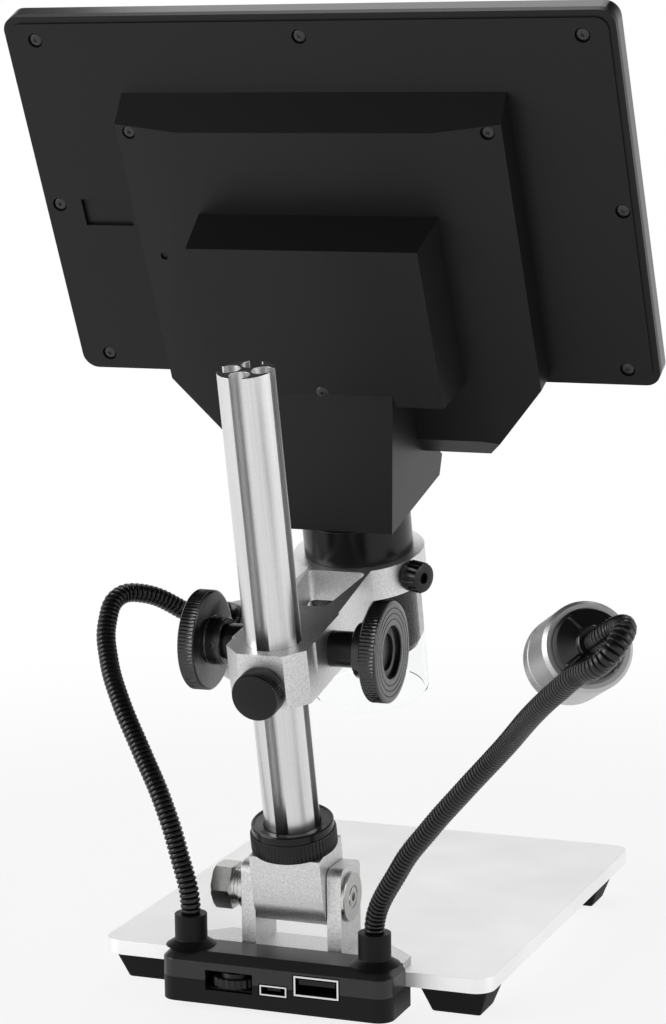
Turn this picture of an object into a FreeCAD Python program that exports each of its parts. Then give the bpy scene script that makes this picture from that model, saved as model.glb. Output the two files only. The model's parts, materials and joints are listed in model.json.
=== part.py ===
"""Free-standing digital microscope with a tilting display on a rack-and-pinion column.

Millimetres. The model is drawn about the middle of the base plate, on the surface that the
feet stand on, and written out about the middle of the rear left foot's rest face. X runs to
the left as seen from the light box, Y towards the light box, Z up. The display faces -Y.
The column leans back about the hinge bolt, and the display leans back a little more.
"""
import FreeCAD, Part
import math
import os

from FreeCAD import Placement, Rotation, Vector

os.makedirs("parts", exist_ok=True)

# Base plate and feet
plate_width = 116.0
plate_depth = 140.0
plate_thickness = 4.2
plate_corner = 5.5
foot_height = 8.8
foot_width = 14.0
foot_depth = 11.0
foot_side_slope = 3.2
foot_inset_x = 12.0
foot_inset_rear = 12.8
foot_inset_front = 19.5

# Clamp bracket and hinge bolt
hinge_inset = 7.5
hinge_height = 17.4
column_lean = 12.0
flange_width = 66.0
flange_ahead = 8.0
flange_behind = 6.8
flange_thickness = 2.2
flange_chamfer_x = 9.0
flange_chamfer_y = 8.3
block_width = 21.0
block_gap = 0.2
ear_thickness = 4.2
ear_ahead = 8.5
ear_behind = 6.5
ear_above_axis = 8.9
ear_corner = 3.0
bolt_diameter = 8.0
bolt_cap_diameter = 14.0
bolt_cap_thickness = 1.2
flat_washer = 1.6
spring_washer = 2.4
nut_height = 5.5
nut_across_flats = 12.0
bolt_end_proud = 1.0
running_gap = 0.05

# Light box behind the plate
box_width = 68.0
box_reach = 13.5
box_bottom = 2.2
box_top = 16.5
box_split = 8.9
box_tongue = 4.0
box_corner = 4.5
box_chamfer = 2.5
box_wall = 1.6
box_plate_gap = 0.15
board_thickness = 1.6
board_top = 6.5
ferrule_x = 27.3
ferrule_reach = 6.0
ferrule_diameter = 9.1
ferrule_base_diameter = 14.4
ferrule_cone = 1.7
ferrule_top = 25.4
ferrule_stem_radius = 2.95
usb_a_centre = (-12.9, 10.25)
usb_a_size = (13.1, 5.7)
usb_a_depth = 12.0
micro_usb_centre = (-0.2, 8.0)
micro_usb_size = (7.9, 2.9)
micro_usb_depth = 6.0
socket_gap = 0.3
socket_wall = 0.5
wheel_window = (6.0, 20.0, 6.3, 11.9)
wheel_x = 12.5
wheel_radius = 6.6
wheel_proud = 1.8
wheel_bottom = 7.7
wheel_thickness = 2.4
wheel_crown_radius = 4.4
wheel_crown_height = 1.2

# Column, in its own frame: origin on the hinge axis, z along the column, y to the rear
block_depth = 17.0
block_top = 14.3
spigot_radius = 9.9
spigot_height = 4.0
collar_radius = 12.1
collar_rim_radius = 11.5
collar_rim_bore = 10.5
collar_height = 8.0
collar_knurl_height = 5.6
column_diameter = 15.5
column_foot = 6.0
column_top = 153.6
groove_centre = 4.6
groove_radius = 2.9
groove_mouth = 3.6
tooth_module = 0.75
tooth_addendum = 0.5
tooth_dedendum = 0.75
tooth_backlash = 0.12
pinion_teeth = 12
pressure_angle = 20.0
rack_start = 24.0
rack_teeth = 52
rack_width = 3.3
rack_floor = 2.4

# Carriage: hub on the column, arm, and the ring that clamps the lens neck
carriage_top = 76.5
hub_bottom = 61.0
hub_half_width = 11.7
hub_rear = 10.5
hub_rear_half_width = 6.6
hub_front = 20.0
arm_thickness = 9.2
arm_root_half_width = 12.2
arm_tip_half_width = 9.6
arm_slope_end = 46.0
lens_offset = 67.0
ring_radius = 19.0
ring_bore = 14.5
window_near = 24.0
window_far = 49.0
window_near_half = 6.0
window_far_half = 9.0
window_corner = 2.0
shaft_diameter = 10.0
shaft_height = 69.2
pinion_face = 8.0
knob_boss_inner = 19.5
knob_inner = 24.0
knob_outer = 29.0
knob_radius = 14.0
knob_flutes = 44
right_boss_radius = 7.65
left_boss_radius = 6.7
shaft_end_inset = 2.4
clamp_height = 66.5
clamp_radius = 6.8
clamp_length = 6.0
clamp_stem_radius = 1.6
clamp_flutes = 24
ring_knob_angle = 22.0
ring_knob_radius = 4.5
ring_knob_length = 5.5
ring_knob_stem_radius = 1.5
ring_knob_below_top = 4.4

# Lens, in the column frame about the lens axis
neck_seat = 1.3
neck_wall = 2.0
barrel_gap = 0.1
barrel_shoulder_width = 1.2
barrel_bottom = 46.0
barrel_wall = 3.0
cup_bottom = 31.5
cup_wall = 1.2
lens_radius = 9.0
lens_seat = 3.0
lens_thickness = 4.0
led_count = 8
sensor_board_size = 19.0

# Display, in its own frame: origin on the rear cover, y to the rear, z up the screen
display_lean = 13.0
display_forward = 68.9
display_height = 179.6
panel_width = 177.5
panel_height = 114.5
panel_corner = 4.5
cover_thickness = 2.5
cover_step = 2.0
cover_step_depth = 0.5
panel_thickness = 8.0
frame_wall = 2.7
frame_lip = 1.1
window_width = 155.0
window_height = 87.0
glass_thickness = 0.8
lcd_thickness = 2.9
lcd_width = 163.0
lcd_height = 95.0
cover_screw_places = [(79.5, 50.2), (-79.5, 50.2), (0.0, 50.6), (84.2, -1.9), (-84.2, -1.9),
                      (79.6, -52.0), (-79.6, -52.0)]
screw_head_radius = 2.0
screw_head_height = 1.0
screw_shank_radius = 1.0
cable_recess = (62.0, 77.0, -8.5, 0.0)
cable_recess_depth = 1.2

# Middle housing on the rear cover, with the button strip below the panel
housing_depth = 10.4
housing_wing_depth = 8.2
housing_top = 26.9
housing_top_skirt = 34.0
housing_half_width = 56.5
housing_skirt_half_width = 57.5
housing_side_bottom = -53.5
housing_face_bottom = -71.1
housing_bottom = -77.6
housing_bottom_half_width = 38.0
housing_chin_depth = 6.5
housing_fold = 37.0
housing_wall = 1.8
strip_gap = 0.3
housing_screw_places = [(52.5, 26.0), (-52.5, 26.0)]
button_count = 5
button_pitch = 15.0
button_radius = 3.2
button_flange = 0.7
button_proud = 0.5
button_gap = 0.3
button_travel = 0.8
reset_place = (49.8, -13.2)
reset_radius = 1.0
reset_travel = 0.5

# Inner housing: battery box with the neck that reaches down to the lens
inner_depth = 26.1
inner_top = -0.8
inner_top_skirt = 1.5
inner_half_width = 34.0
inner_skirt_half_width = 35.5
inner_bottom = -50.3
inner_wall = 1.8
tail_top_half_width = 19.4
tail_bottom_half_width = 16.4
tail_rear_top = (-54.0, 124.5)
tail_rear_bottom = (-52.4, 87.4)
tail_front_bottom = (-94.0, 89.8)
tail_front_top = (-96.5, 95.5)
tail_front_upper = (-88.0, 102.0)
tail_upper = 128.0
pack_size = (56.0, 9.0, 36.0)
pack_middle = -25.0

# Goosenecks and lamps; their points are measured from the plate's rear edge
neck_tube_radius = 2.85
neck_groove_radius = 2.45
left_neck_ribs = 14
right_neck_ribs = 20
left_neck_points = [(29.0, 5.0, 34.3), (32.2, 3.0, 42.1), (38.6, -1.0, 54.9),
                    (47.6, -7.0, 67.2), (56.6, -13.0, 79.7), (63.2, -20.0, 89.4),
                    (67.2, -28.0, 99.0), (66.6, -34.5, 105.0), (61.8, -40.6, 105.2)]
left_lamp_place = (48.3, -55.0, 94.6)
left_lamp_aim = (-0.61, -0.59, -0.54)
right_neck_points = [(-30.4, 8.0, 37.6), (-36.8, 11.5, 45.5), (-47.8, 18.5, 59.2),
                     (-60.8, 27.5, 73.3), (-74.0, 38.0, 87.0), (-93.0, 64.0, 106.1),
                     (-100.2, 71.6, 112.5), (-106.3, 77.9, 117.7), (-115.6, 86.2, 123.7),
                     (-118.4, 84.8, 127.5), (-118.9, 80.5, 130.0), (-116.0, 75.8, 129.5)]
right_lamp_place = (-107.06, 65.65, 123.2)
right_lamp_aim = (0.484, -0.8, -0.355)
lamp_radius = 11.3
lamp_length = 26.0
lamp_cap_radius = 9.0
lamp_cap_length = 3.0
lamp_boss_radius = 4.2
lamp_boss_length = 3.0
lamp_bore = 9.6
lamp_bore_depth = 9.0
lamp_lens_inset = 1.5
lamp_lens_thickness = 2.0

# Derived places
plate_top = foot_height + plate_thickness
plate_rear = plate_depth / 2
hinge_y = plate_rear - hinge_inset
hinge_z = plate_top + hinge_height
flange_front = hinge_y - flange_ahead
flange_rear = hinge_y + flange_behind
ear_front = hinge_y - ear_ahead
ear_rear = hinge_y + ear_behind
box_rear = plate_rear + box_reach
ferrule_y = plate_rear + ferrule_reach
wheel_y = box_rear + wheel_proud - wheel_radius
neck_radius = ring_bore + neck_seat
barrel_neck_radius = ring_bore - barrel_gap
barrel_radius = barrel_neck_radius + barrel_shoulder_width
cup_radius = barrel_radius + cup_wall + barrel_gap
ear_inner = block_width / 2 + block_gap
ear_outer = ear_inner + ear_thickness
column_radius = column_diameter / 2
bolt_radius = bolt_diameter / 2
pinion_radius = tooth_module * pinion_teeth / 2
rack_pitch_line = column_radius + tooth_addendum + 0.1
shaft_offset = rack_pitch_line + pinion_radius
tooth_pitch = math.pi * tooth_module

X = Vector(1, 0, 0)
Y = Vector(0, 1, 0)
Z = Vector(0, 0, 1)

column_frame = Placement(Vector(0, hinge_y, hinge_z), Rotation(X, -column_lean))
display_frame = column_frame.multiply(
    Placement(Vector(0, -display_forward, display_height), Rotation(X, -display_lean)))


# Shapes and helpers

def block(x0, x1, y0, y1, z0, z1):
    return Part.makeBox(x1 - x0, y1 - y0, z1 - z0, Vector(x0, y0, z0))


def rod(radius, start, direction, length):
    return Part.makeCylinder(radius, length, Vector(*start), direction)


def cone(radius_0, radius_1, start, direction, length):
    return Part.makeCone(radius_0, radius_1, length, Vector(*start), direction)


def polygon_face(points):
    wire = Part.makePolygon([Vector(*p) for p in points] + [Vector(*points[0])])
    return Part.Face(wire)


def prism_z(points, z0, z1):
    """Outline given as (x, y), extruded from z0 to z1."""
    return polygon_face([(x, y, z0) for x, y in points]).extrude(Vector(0, 0, z1 - z0))


def prism_y(points, y0, y1):
    """Outline given as (x, z), extruded from y0 to y1."""
    return polygon_face([(x, y0, z) for x, z in points]).extrude(Vector(0, y1 - y0, 0))


def prism_x(points, half_width):
    """Outline given as (y, z), extruded to both sides of the middle plane."""
    face = polygon_face([(-half_width, y, z) for y, z in points])
    return face.extrude(Vector(2 * half_width, 0, 0))


def mirrored(points):
    """Points on one side, given from top to bottom, closed by their mirror images."""
    return points + [(-x, z) for x, z in reversed(points)]


def turned(profile):
    """Solid of revolution about Z from (radius, z) points."""
    return polygon_face([(r, 0, z) for r, z in profile]).revolve(Vector(0, 0, 0), Z, 360)


def edges_along(shape, direction, keep=lambda middle: True):
    """Straight edges parallel to a direction whose middle passes the test."""
    found = []
    for edge in shape.Edges:
        if edge.Curve.TypeId != "Part::GeomLine":
            continue
        along = (edge.Vertexes[-1].Point - edge.Vertexes[0].Point).normalize()
        if abs(abs(along.dot(direction)) - 1) < 1e-6 and keep(edge.CenterOfMass):
            found.append(edge)
    return found


def union(shapes):
    result = shapes[0].multiFuse(shapes[1:]) if len(shapes) > 1 else shapes[0]
    return result.removeSplitter()


def fluted(radius, depth, count, length):
    """Knurled rim: a star outline of equal flutes, extruded along Z."""
    points = []
    for i in range(2 * count):
        r = radius if i % 2 == 0 else radius - depth
        a = math.pi * i / count
        points.append((r * math.cos(a), r * math.sin(a)))
    return prism_z(points, 0, length)


def placed(shape, placement):
    copy = shape.copy()
    copy.Placement = placement.multiply(shape.Placement)
    return copy


def aimed(origin, direction):
    """Frame with its Z along a direction."""
    return Placement(Vector(*origin), Rotation(Z, Vector(*direction)))


foot_places = [(sx * (plate_width / 2 - foot_inset_x), y)
               for sx in (-1, 1)
               for y in (plate_rear - foot_inset_rear, foot_inset_front - plate_rear)]
rear_left_foot = foot_places[2]
row_frame = Placement(Vector(-rear_left_foot[0], -rear_left_foot[1], 0), Rotation())


def save(name, solids, placement=Placement()):
    """Write one node; several loose solids stay separate in it."""
    frame = row_frame.multiply(placement)
    pieces = [placed(s, frame) for s in solids]
    shape = pieces[0] if len(pieces) == 1 else Part.makeCompound(pieces)
    shape.exportStep("parts/" + name + ".step")


# Base plate and feet

bracket_screw_places = [(sx * 19.5, flange_rear - 5.5) for sx in (-1, 1)]
bracket_screw_radius = 1.6
bracket_screw_head = 3.0


def make_base_plate():
    plate = block(-plate_width / 2, plate_width / 2, -plate_depth / 2, plate_depth / 2,
                  foot_height, plate_top)
    plate = plate.makeFillet(plate_corner, edges_along(plate, Z))
    for x, y in bracket_screw_places:
        plate = plate.cut(rod(bracket_screw_radius, (x, y, foot_height), Z, plate_thickness))
        plate = plate.cut(rod(bracket_screw_head, (x, y, foot_height), Z, 1.8))
    return plate


def make_foot(x, y):
    """Block with sloping sides, smallest where it stands."""
    low_x, low_y = foot_width / 2, foot_depth / 2
    top_x, top_y = low_x + foot_side_slope, low_y + foot_side_slope
    wedge = Part.makeWedge(-low_x, 0, -low_y, -top_y, -top_x, low_x, foot_height, low_y,
                           top_y, top_x)
    return placed(wedge, Placement(Vector(x, y, 0), Rotation(X, 90)))


save("base_plate", [make_base_plate()])
save("feet", [make_foot(x, y) for x, y in foot_places])


# Clamp bracket, its screws and the hinge bolt

def make_bracket():
    half = flange_width / 2
    outline = [(half, flange_rear), (half, flange_front + flange_chamfer_y),
               (half - flange_chamfer_x, flange_front)]
    flange = prism_z(mirrored(outline), plate_top, plate_top + flange_thickness)
    parts = [flange]
    for side in (-1, 1):
        x0, x1 = sorted((side * ear_inner, side * ear_outer))
        ear = block(x0, x1, ear_front, ear_rear, plate_top, hinge_z + ear_above_axis)
        top = edges_along(ear, X, lambda m: m.z > hinge_z)
        parts.append(ear.makeFillet(ear_corner, top))
    bracket = union(parts)
    bore = rod(bolt_radius + running_gap, (-ear_outer - 1, hinge_y, hinge_z), X, 2 * ear_outer + 2)
    bracket = bracket.cut(bore)
    for x, y in bracket_screw_places:
        bracket = bracket.cut(rod(bracket_screw_radius, (x, y, plate_top), Z, flange_thickness))
    return bracket


def make_bracket_screw(x, y):
    head = rod(bracket_screw_head, (x, y, foot_height), Z, 1.8)
    top = plate_top + flange_thickness
    return union([head, rod(bracket_screw_radius, (x, y, foot_height), Z, top - foot_height)])


def hexagon(across_flats, x0, x1):
    radius = across_flats / math.sqrt(3)
    points = [(hinge_y + radius * math.cos(math.radians(60 * i)),
               hinge_z + radius * math.sin(math.radians(60 * i))) for i in range(6)]
    return polygon_face([(x0, y, z) for y, z in points]).extrude(Vector(x1 - x0, 0, 0))


washer_seat = ear_outer
spring_seat = washer_seat + flat_washer
nut_seat = spring_seat + spring_washer
nut_end = nut_seat + nut_height
bolt_end = nut_end + bolt_end_proud


def make_bolt():
    shank = rod(bolt_radius, (-ear_outer, hinge_y, hinge_z), X, bolt_end + ear_outer)
    shank = shank.makeChamfer(0.6, [shank.Edges[0]])
    cap = rod(bolt_cap_diameter / 2, (-ear_outer, hinge_y, hinge_z), -X, bolt_cap_thickness)
    recess = hexagon(4.0, -ear_outer - bolt_cap_thickness, -ear_outer)
    return union([shank, cap]).cut(recess)


def make_washer(x0, thickness, outer, slit):
    ring = rod(outer, (x0, hinge_y, hinge_z), X, thickness)
    ring = ring.cut(rod(bolt_radius + 0.02, (x0, hinge_y, hinge_z), X, thickness))
    if slit:
        gap = block(x0, x0 + thickness, hinge_y - 0.5, hinge_y + 0.5, hinge_z, hinge_z + outer)
        ring = ring.cut(gap)
    return ring


def make_nut():
    nut = hexagon(nut_across_flats, nut_seat, nut_end)
    corner = nut_across_flats / math.sqrt(3)
    dome = cone(corner + nut_height, corner - 0.6, (nut_seat, hinge_y, hinge_z), X, nut_height)
    nut = nut.common(dome)
    return nut.cut(rod(bolt_radius + 0.02, (nut_seat, hinge_y, hinge_z), X, nut_height))


save("hinge_bracket", [make_bracket()])
save("bracket_screws", [make_bracket_screw(x, y) for x, y in bracket_screw_places])
save("hinge_bolt", [make_bolt()])
save("hinge_washers", [make_washer(washer_seat, flat_washer, 7.6, False),
                       make_washer(spring_seat, spring_washer, 6.6, True)])
save("hinge_nut", [make_nut()])


# Light box: two shells, sockets, dimmer wheel, board and ferrules

box_front = plate_depth / 2 + box_plate_gap
box_half = box_width / 2


def socket_hole(centre, size, depth, gap):
    x, z = centre
    w, h = size
    return block(x - w / 2 - gap, x + w / 2 + gap, box_rear - depth - gap, box_rear + 1,
                 z - h / 2 - gap, z + h / 2 + gap)


def wheel_cut():
    x0, x1, z0, z1 = wheel_window
    return block(x0, x1, wheel_y, box_rear + 1, z0, z1)


def box_cutters():
    return [socket_hole(usb_a_centre, usb_a_size, usb_a_depth, socket_gap),
            socket_hole(micro_usb_centre, micro_usb_size, micro_usb_depth, socket_gap),
            wheel_cut()]


def make_box_top():
    outer = block(-box_half, box_half, box_front, box_rear, box_split, box_top)
    outer = outer.makeFillet(box_corner, edges_along(outer, Z, lambda m: m.y > box_rear - 1))
    rear_top = edges_along(outer, X, lambda m: m.y > box_rear - 1 and m.z > box_top - 0.1)
    outer = outer.makeChamfer(box_chamfer, rear_top)
    inner = block(-box_half + box_wall, box_half - box_wall, box_front + box_wall,
                  box_rear - box_wall - box_chamfer / 2, box_split, box_top - box_wall)
    shell = outer.cut(inner)
    for cutter in box_cutters():
        shell = shell.cut(cutter)
    for side in (-1, 1):
        shell = shell.cut(rod(ferrule_stem_radius + running_gap,
                              (side * ferrule_x, ferrule_y, box_split), Z, box_top))
    return shell


def make_box_bottom():
    outer = block(-box_half, box_half, box_front - box_tongue, box_rear, box_bottom, box_split)
    outer = outer.makeFillet(box_corner, edges_along(outer, Z, lambda m: m.y > box_rear - 1))
    under_plate = block(-box_half, box_half, box_front - box_tongue - 1, box_front,
                        foot_height, box_split)
    inner = block(-box_half + box_wall, box_half - box_wall, box_front - box_tongue + box_wall,
                  box_rear - box_wall, box_bottom + box_wall, box_split)
    shell = outer.cut(under_plate).cut(inner)
    for cutter in box_cutters():
        shell = shell.cut(cutter)
    return shell


def make_usb_a():
    x, z = usb_a_centre
    w, h = usb_a_size
    front = box_rear - usb_a_depth
    shell = block(x - w / 2, x + w / 2, front, box_rear, z - h / 2, z + h / 2)
    cavity = block(x - w / 2 + socket_wall, x + w / 2 - socket_wall, front + socket_wall, box_rear,
                   z - h / 2 + socket_wall, z + h / 2 - socket_wall)
    tongue = block(x - w / 2 + 1.2, x + w / 2 - 1.2, front, box_rear - 0.8, z + 0.3, z + 1.7)
    legs = [block(x + dx - 0.6, x + dx + 0.6, front + 3, front + 5, board_top, z - h / 2)
            for dx in (-w / 2 + 0.6, w / 2 - 0.6)]
    return union([shell.cut(cavity), tongue] + legs)


def make_micro_usb():
    x, z = micro_usb_centre
    w, h = micro_usb_size
    front = box_rear - micro_usb_depth
    shell = block(x - w / 2, x + w / 2, front, box_rear, z - h / 2, z + h / 2)
    cavity = block(x - w / 2 + 0.4, x + w / 2 - 0.4, front + 0.4, box_rear,
                   z - h / 2 + 0.4, z + h / 2 - 0.4)
    tongue = block(x - w / 2 + 2.0, x + w / 2 - 2.0, front, box_rear - 0.8, z - 0.1, z + 0.5)
    return union([shell.cut(cavity), tongue])


def make_box_board():
    return block(-box_half + box_wall + 1, box_half - box_wall - 1, box_front - 1,
                 box_rear - box_wall - 0.5, board_top - board_thickness, board_top)


def make_box_posts():
    """Four posts on the floor of the lower shell that carry the board."""
    return [block(x - 2, x + 2, y - 1.5, y + 1.5, box_bottom + box_wall,
                  board_top - board_thickness)
            for x in (7 - box_half, box_half - 7) for y in (box_front + 1.6, box_rear - 6)]


def make_wheel():
    place = (wheel_x, wheel_y)
    disc = placed(fluted(wheel_radius, 0.4, 24, wheel_thickness),
                  Placement(Vector(*place, wheel_bottom), Rotation()))
    crown = rod(wheel_crown_radius, (*place, wheel_bottom + wheel_thickness), Z,
                wheel_crown_height)
    hub = rod(1.5, (*place, board_top), Z, wheel_bottom - board_top)
    return union([disc, crown, hub])


def make_ferrule(side):
    x = side * ferrule_x
    base = cone(ferrule_base_diameter / 2, ferrule_diameter / 2, (x, ferrule_y, box_top), Z,
                ferrule_cone)
    barrel = rod(ferrule_diameter / 2, (x, ferrule_y, box_top + ferrule_cone), Z,
                 ferrule_top - box_top - ferrule_cone)
    stem = rod(ferrule_stem_radius, (x, ferrule_y, box_top - box_wall - 2), Z, box_wall + 2)
    return union([base, barrel, stem])


save("light_box_top", [make_box_top()])
save("light_box_bottom", [union([make_box_bottom()] + make_box_posts())])
save("light_box_board", [make_box_board()])
save("dimmer_wheel", [make_wheel()])
save("usb_a_socket", [make_usb_a()])
save("micro_usb_socket", [make_micro_usb()])
save("neck_ferrules", [make_ferrule(-1), make_ferrule(1)])


# Pivot block, collar, column and rack

def make_pivot_block():
    half = block_width / 2
    depth = block_depth / 2
    body = block(-half, half, -depth, depth, 0, block_top)
    body = union([body, rod(depth, (-half, 0, 0), X, block_width),
                  rod(spigot_radius, (0, 0, block_top), Z, spigot_height)])
    body = body.cut(rod(bolt_radius + running_gap, (-half, 0, 0), X, block_width))
    return body.cut(rod(column_radius, (0, 0, column_foot), Z, block_top + spigot_height))


def make_collar():
    spigot_top = block_top + spigot_height
    knurl = placed(fluted(collar_radius, 0.35, 48, collar_knurl_height),
                   Placement(Vector(0, 0, block_top), Rotation()))
    rim = rod(collar_rim_radius, (0, 0, block_top), Z, collar_height)
    collar = union([knurl, rim])
    collar = collar.cut(rod(spigot_radius + running_gap, (0, 0, block_top), Z, spigot_height + 0.2))
    return collar.cut(rod(collar_rim_bore, (0, 0, spigot_top), Z, collar_height))


def make_column():
    body = rod(column_radius, (0, 0, column_foot), Z, column_top - column_foot)
    length = column_top - column_foot
    for i in range(4):
        channel = rod(groove_radius, (0, -groove_centre, column_foot), Z, length)
        mouth = block(-groove_mouth / 2, groove_mouth / 2, -column_radius - 1, -groove_centre,
                      column_foot, column_top)
        groove = union([channel, mouth])
        groove.rotate(Vector(0, 0, 0), Z, 90 * i)
        body = body.cut(groove)
    return body


def rack_outline():
    """Rack teeth point towards -Y and stand just clear of the column's surface."""
    slope = math.tan(math.radians(pressure_angle))
    half = tooth_pitch / 4 - tooth_backlash / 2
    tip = half - tooth_addendum * slope
    root = half + tooth_dedendum * slope
    outline = [(-rack_floor, rack_start)]
    outline.append((-rack_pitch_line + tooth_dedendum, rack_start))
    for i in range(rack_teeth):
        z = rack_start + (i + 0.5) * tooth_pitch
        outline += [(-rack_pitch_line + tooth_dedendum, z - root),
                    (-rack_pitch_line - tooth_addendum, z - tip),
                    (-rack_pitch_line - tooth_addendum, z + tip),
                    (-rack_pitch_line + tooth_dedendum, z + root)]
    end = rack_start + rack_teeth * tooth_pitch
    outline += [(-rack_pitch_line + tooth_dedendum, end), (-rack_floor, end)]
    return outline


save("pivot_block", [make_pivot_block()], column_frame)
save("column_collar", [make_collar()], column_frame)
save("column", [make_column()], column_frame)
save("column_rack", [prism_x(rack_outline(), rack_width / 2)], column_frame)


# Carriage, pinion shaft and knobs

arm_bottom = carriage_top - arm_thickness


def rounded_window():
    """Trapezoid window between the hub and the ring."""
    points = mirrored([(window_near_half, -window_near), (window_far_half, -window_far)])
    cutter = prism_z(points, hub_bottom - 1, carriage_top + 1)
    return cutter.makeFillet(window_corner, edges_along(cutter, Z))


def ring_knob_frame():
    """Radial axis of the ring's clamp screw, towards the right rear."""
    a = math.radians(180 - ring_knob_angle)
    direction = Vector(math.cos(a), math.sin(a), 0)
    height = carriage_top - ring_knob_below_top
    return Placement(Vector(0, -lens_offset, height), Rotation(Z, direction))


def make_carriage():
    hub = prism_z(mirrored([(hub_rear_half_width, hub_rear),
                            (hub_half_width, hub_rear - hub_half_width + hub_rear_half_width),
                            (hub_half_width, -hub_front)]), hub_bottom, carriage_top)
    arm_end = -(lens_offset - ring_radius + 3)
    arm = prism_z(mirrored([(arm_root_half_width, 0), (arm_tip_half_width, arm_end)]),
                  arm_bottom, carriage_top)
    web = prism_x([(-hub_front, hub_bottom), (-hub_front, carriage_top),
                   (-arm_slope_end, carriage_top), (-arm_slope_end, arm_bottom)], 40)
    web = web.common(prism_z(mirrored([(arm_root_half_width, 0), (arm_tip_half_width, arm_end)]),
                             hub_bottom, carriage_top))
    ring = rod(ring_radius, (0, -lens_offset, arm_bottom), Z, arm_thickness)
    carriage = union([hub, arm, web, ring])
    notch = block(-rack_width / 2 - 0.3, rack_width / 2 + 0.3,
                  -rack_pitch_line - tooth_addendum - 0.5, 0, hub_bottom, carriage_top)
    pocket = rod(pinion_radius + tooth_addendum + 0.4,
                 (-pinion_face / 2 - 0.5, -shaft_offset, shaft_height), X, pinion_face + 1)
    cutters = [rod(column_radius + running_gap, (0, 0, hub_bottom), Z, carriage_top - hub_bottom),
               notch, pocket, rounded_window(),
               rod(ring_bore, (0, -lens_offset, arm_bottom), Z, arm_thickness),
               rod(shaft_diameter / 2 + running_gap, (-hub_half_width - 1, -shaft_offset,
                                                      shaft_height), X, 2 * hub_half_width + 2),
               rod(clamp_stem_radius + running_gap, (0, 0, clamp_height), Y, hub_rear + 1),
               placed(rod(ring_knob_stem_radius + running_gap, (0, 0, 0), Z, ring_radius + 1),
                      ring_knob_frame())]
    for cutter in cutters:
        carriage = carriage.cut(cutter)
    return carriage


def pinion_outline():
    """Tooth flanks as short straight facets of the true involute."""
    base = pinion_radius * math.cos(math.radians(pressure_angle))
    tip = pinion_radius + tooth_addendum
    root = pinion_radius - tooth_dedendum

    def spread(radius):
        roll = math.acos(min(1.0, base / radius))
        return math.tan(roll) - roll

    half_at_pitch = math.pi / pinion_teeth / 2 - tooth_backlash / 2 / pinion_radius
    offset = half_at_pitch + spread(pinion_radius)
    radii = [base + (tip - base) * i / 2 for i in range(3)]
    points = []
    for i in range(pinion_teeth):
        middle = 2 * math.pi * i / pinion_teeth
        rising = [(r, middle - offset + spread(r)) for r in radii]
        falling = [(r, middle + offset - spread(r)) for r in reversed(radii)]
        flank = [(root, middle - offset)] + rising + falling + [(root, middle + offset)]
        points += [(r * math.cos(a), r * math.sin(a)) for r, a in flank]
    return points


def pinion_turn():
    """Turn that puts a pinion gap over the rack tooth at the shaft's height."""
    nearest = round((shaft_height - rack_start) / tooth_pitch - 0.5)
    rise = shaft_height - (rack_start + (nearest + 0.5) * tooth_pitch)
    return math.pi / pinion_teeth + rise / pinion_radius


def make_pinion_shaft():
    """Shaft along X with the pinion teeth cut into its middle."""
    turn = pinion_turn()
    points = []
    for u, v in pinion_outline():
        y = u * math.cos(turn) + v * math.sin(turn)
        z = -u * math.sin(turn) + v * math.cos(turn)
        points.append((y - shaft_offset, z + shaft_height))
    teeth = prism_x(points, pinion_face / 2)
    sides = [rod(shaft_diameter / 2, (side * pinion_face / 2, -shaft_offset, shaft_height),
                 X * side, knob_outer - shaft_end_inset - pinion_face / 2) for side in (-1, 1)]
    return union([teeth] + sides)


def make_focus_knob(side, boss_radius):
    """Dished hand wheel with a knurled rim and an inward boss; Z points outwards."""
    thickness = knob_outer - knob_inner
    rim = fluted(knob_radius, 0.45, knob_flutes, thickness)
    rim = rim.cut(turned([(0, thickness - 1.4), (7.5, thickness - 1.4), (8.2, thickness - 0.5),
                          (11.6, thickness - 0.5), (11.6, thickness + 1), (0, thickness + 1)]))
    boss = rod(boss_radius, (0, 0, knob_boss_inner - knob_inner), Z, knob_inner - knob_boss_inner)
    knob = union([rim, boss])
    bore = rod(shaft_diameter / 2, (0, 0, knob_boss_inner - knob_inner), Z,
               knob_outer - shaft_end_inset - knob_boss_inner)
    knob = knob.cut(bore)
    frame = Placement(Vector(side * knob_inner, -shaft_offset, shaft_height), Rotation(Z, X * side))
    return placed(knob, frame)


def thumb_screw(radius, flutes, length, stem_radius, stem_length):
    """Fluted thumb screw: the head from z = 0 outwards, the stem inwards."""
    head = fluted(radius, 0.3, flutes, length - 0.6)
    lip = placed(cone(radius - 0.3, radius - 0.8, (0, 0, 0), Z, 0.6),
                 Placement(Vector(0, 0, length - 0.6), Rotation()))
    stem = rod(stem_radius, (0, 0, -stem_length), Z, stem_length)
    socket = rod(radius * 0.32, (0, 0, length - 1.5), Z, 2)
    return union([head, lip, stem]).cut(socket)


seat_gap = 0.15
clamp_frame = Placement(Vector(0, hub_rear + seat_gap, clamp_height), Rotation(Z, Y))
rear_clamp = thumb_screw(clamp_radius, clamp_flutes, clamp_length, clamp_stem_radius,
                         hub_rear + seat_gap - column_radius - 0.2)
ring_clamp = thumb_screw(ring_knob_radius, 16, ring_knob_length, ring_knob_stem_radius,
                         ring_radius + seat_gap - ring_bore)
ring_clamp = placed(ring_clamp, Placement(Vector(0, 0, ring_radius + seat_gap), Rotation()))

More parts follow.
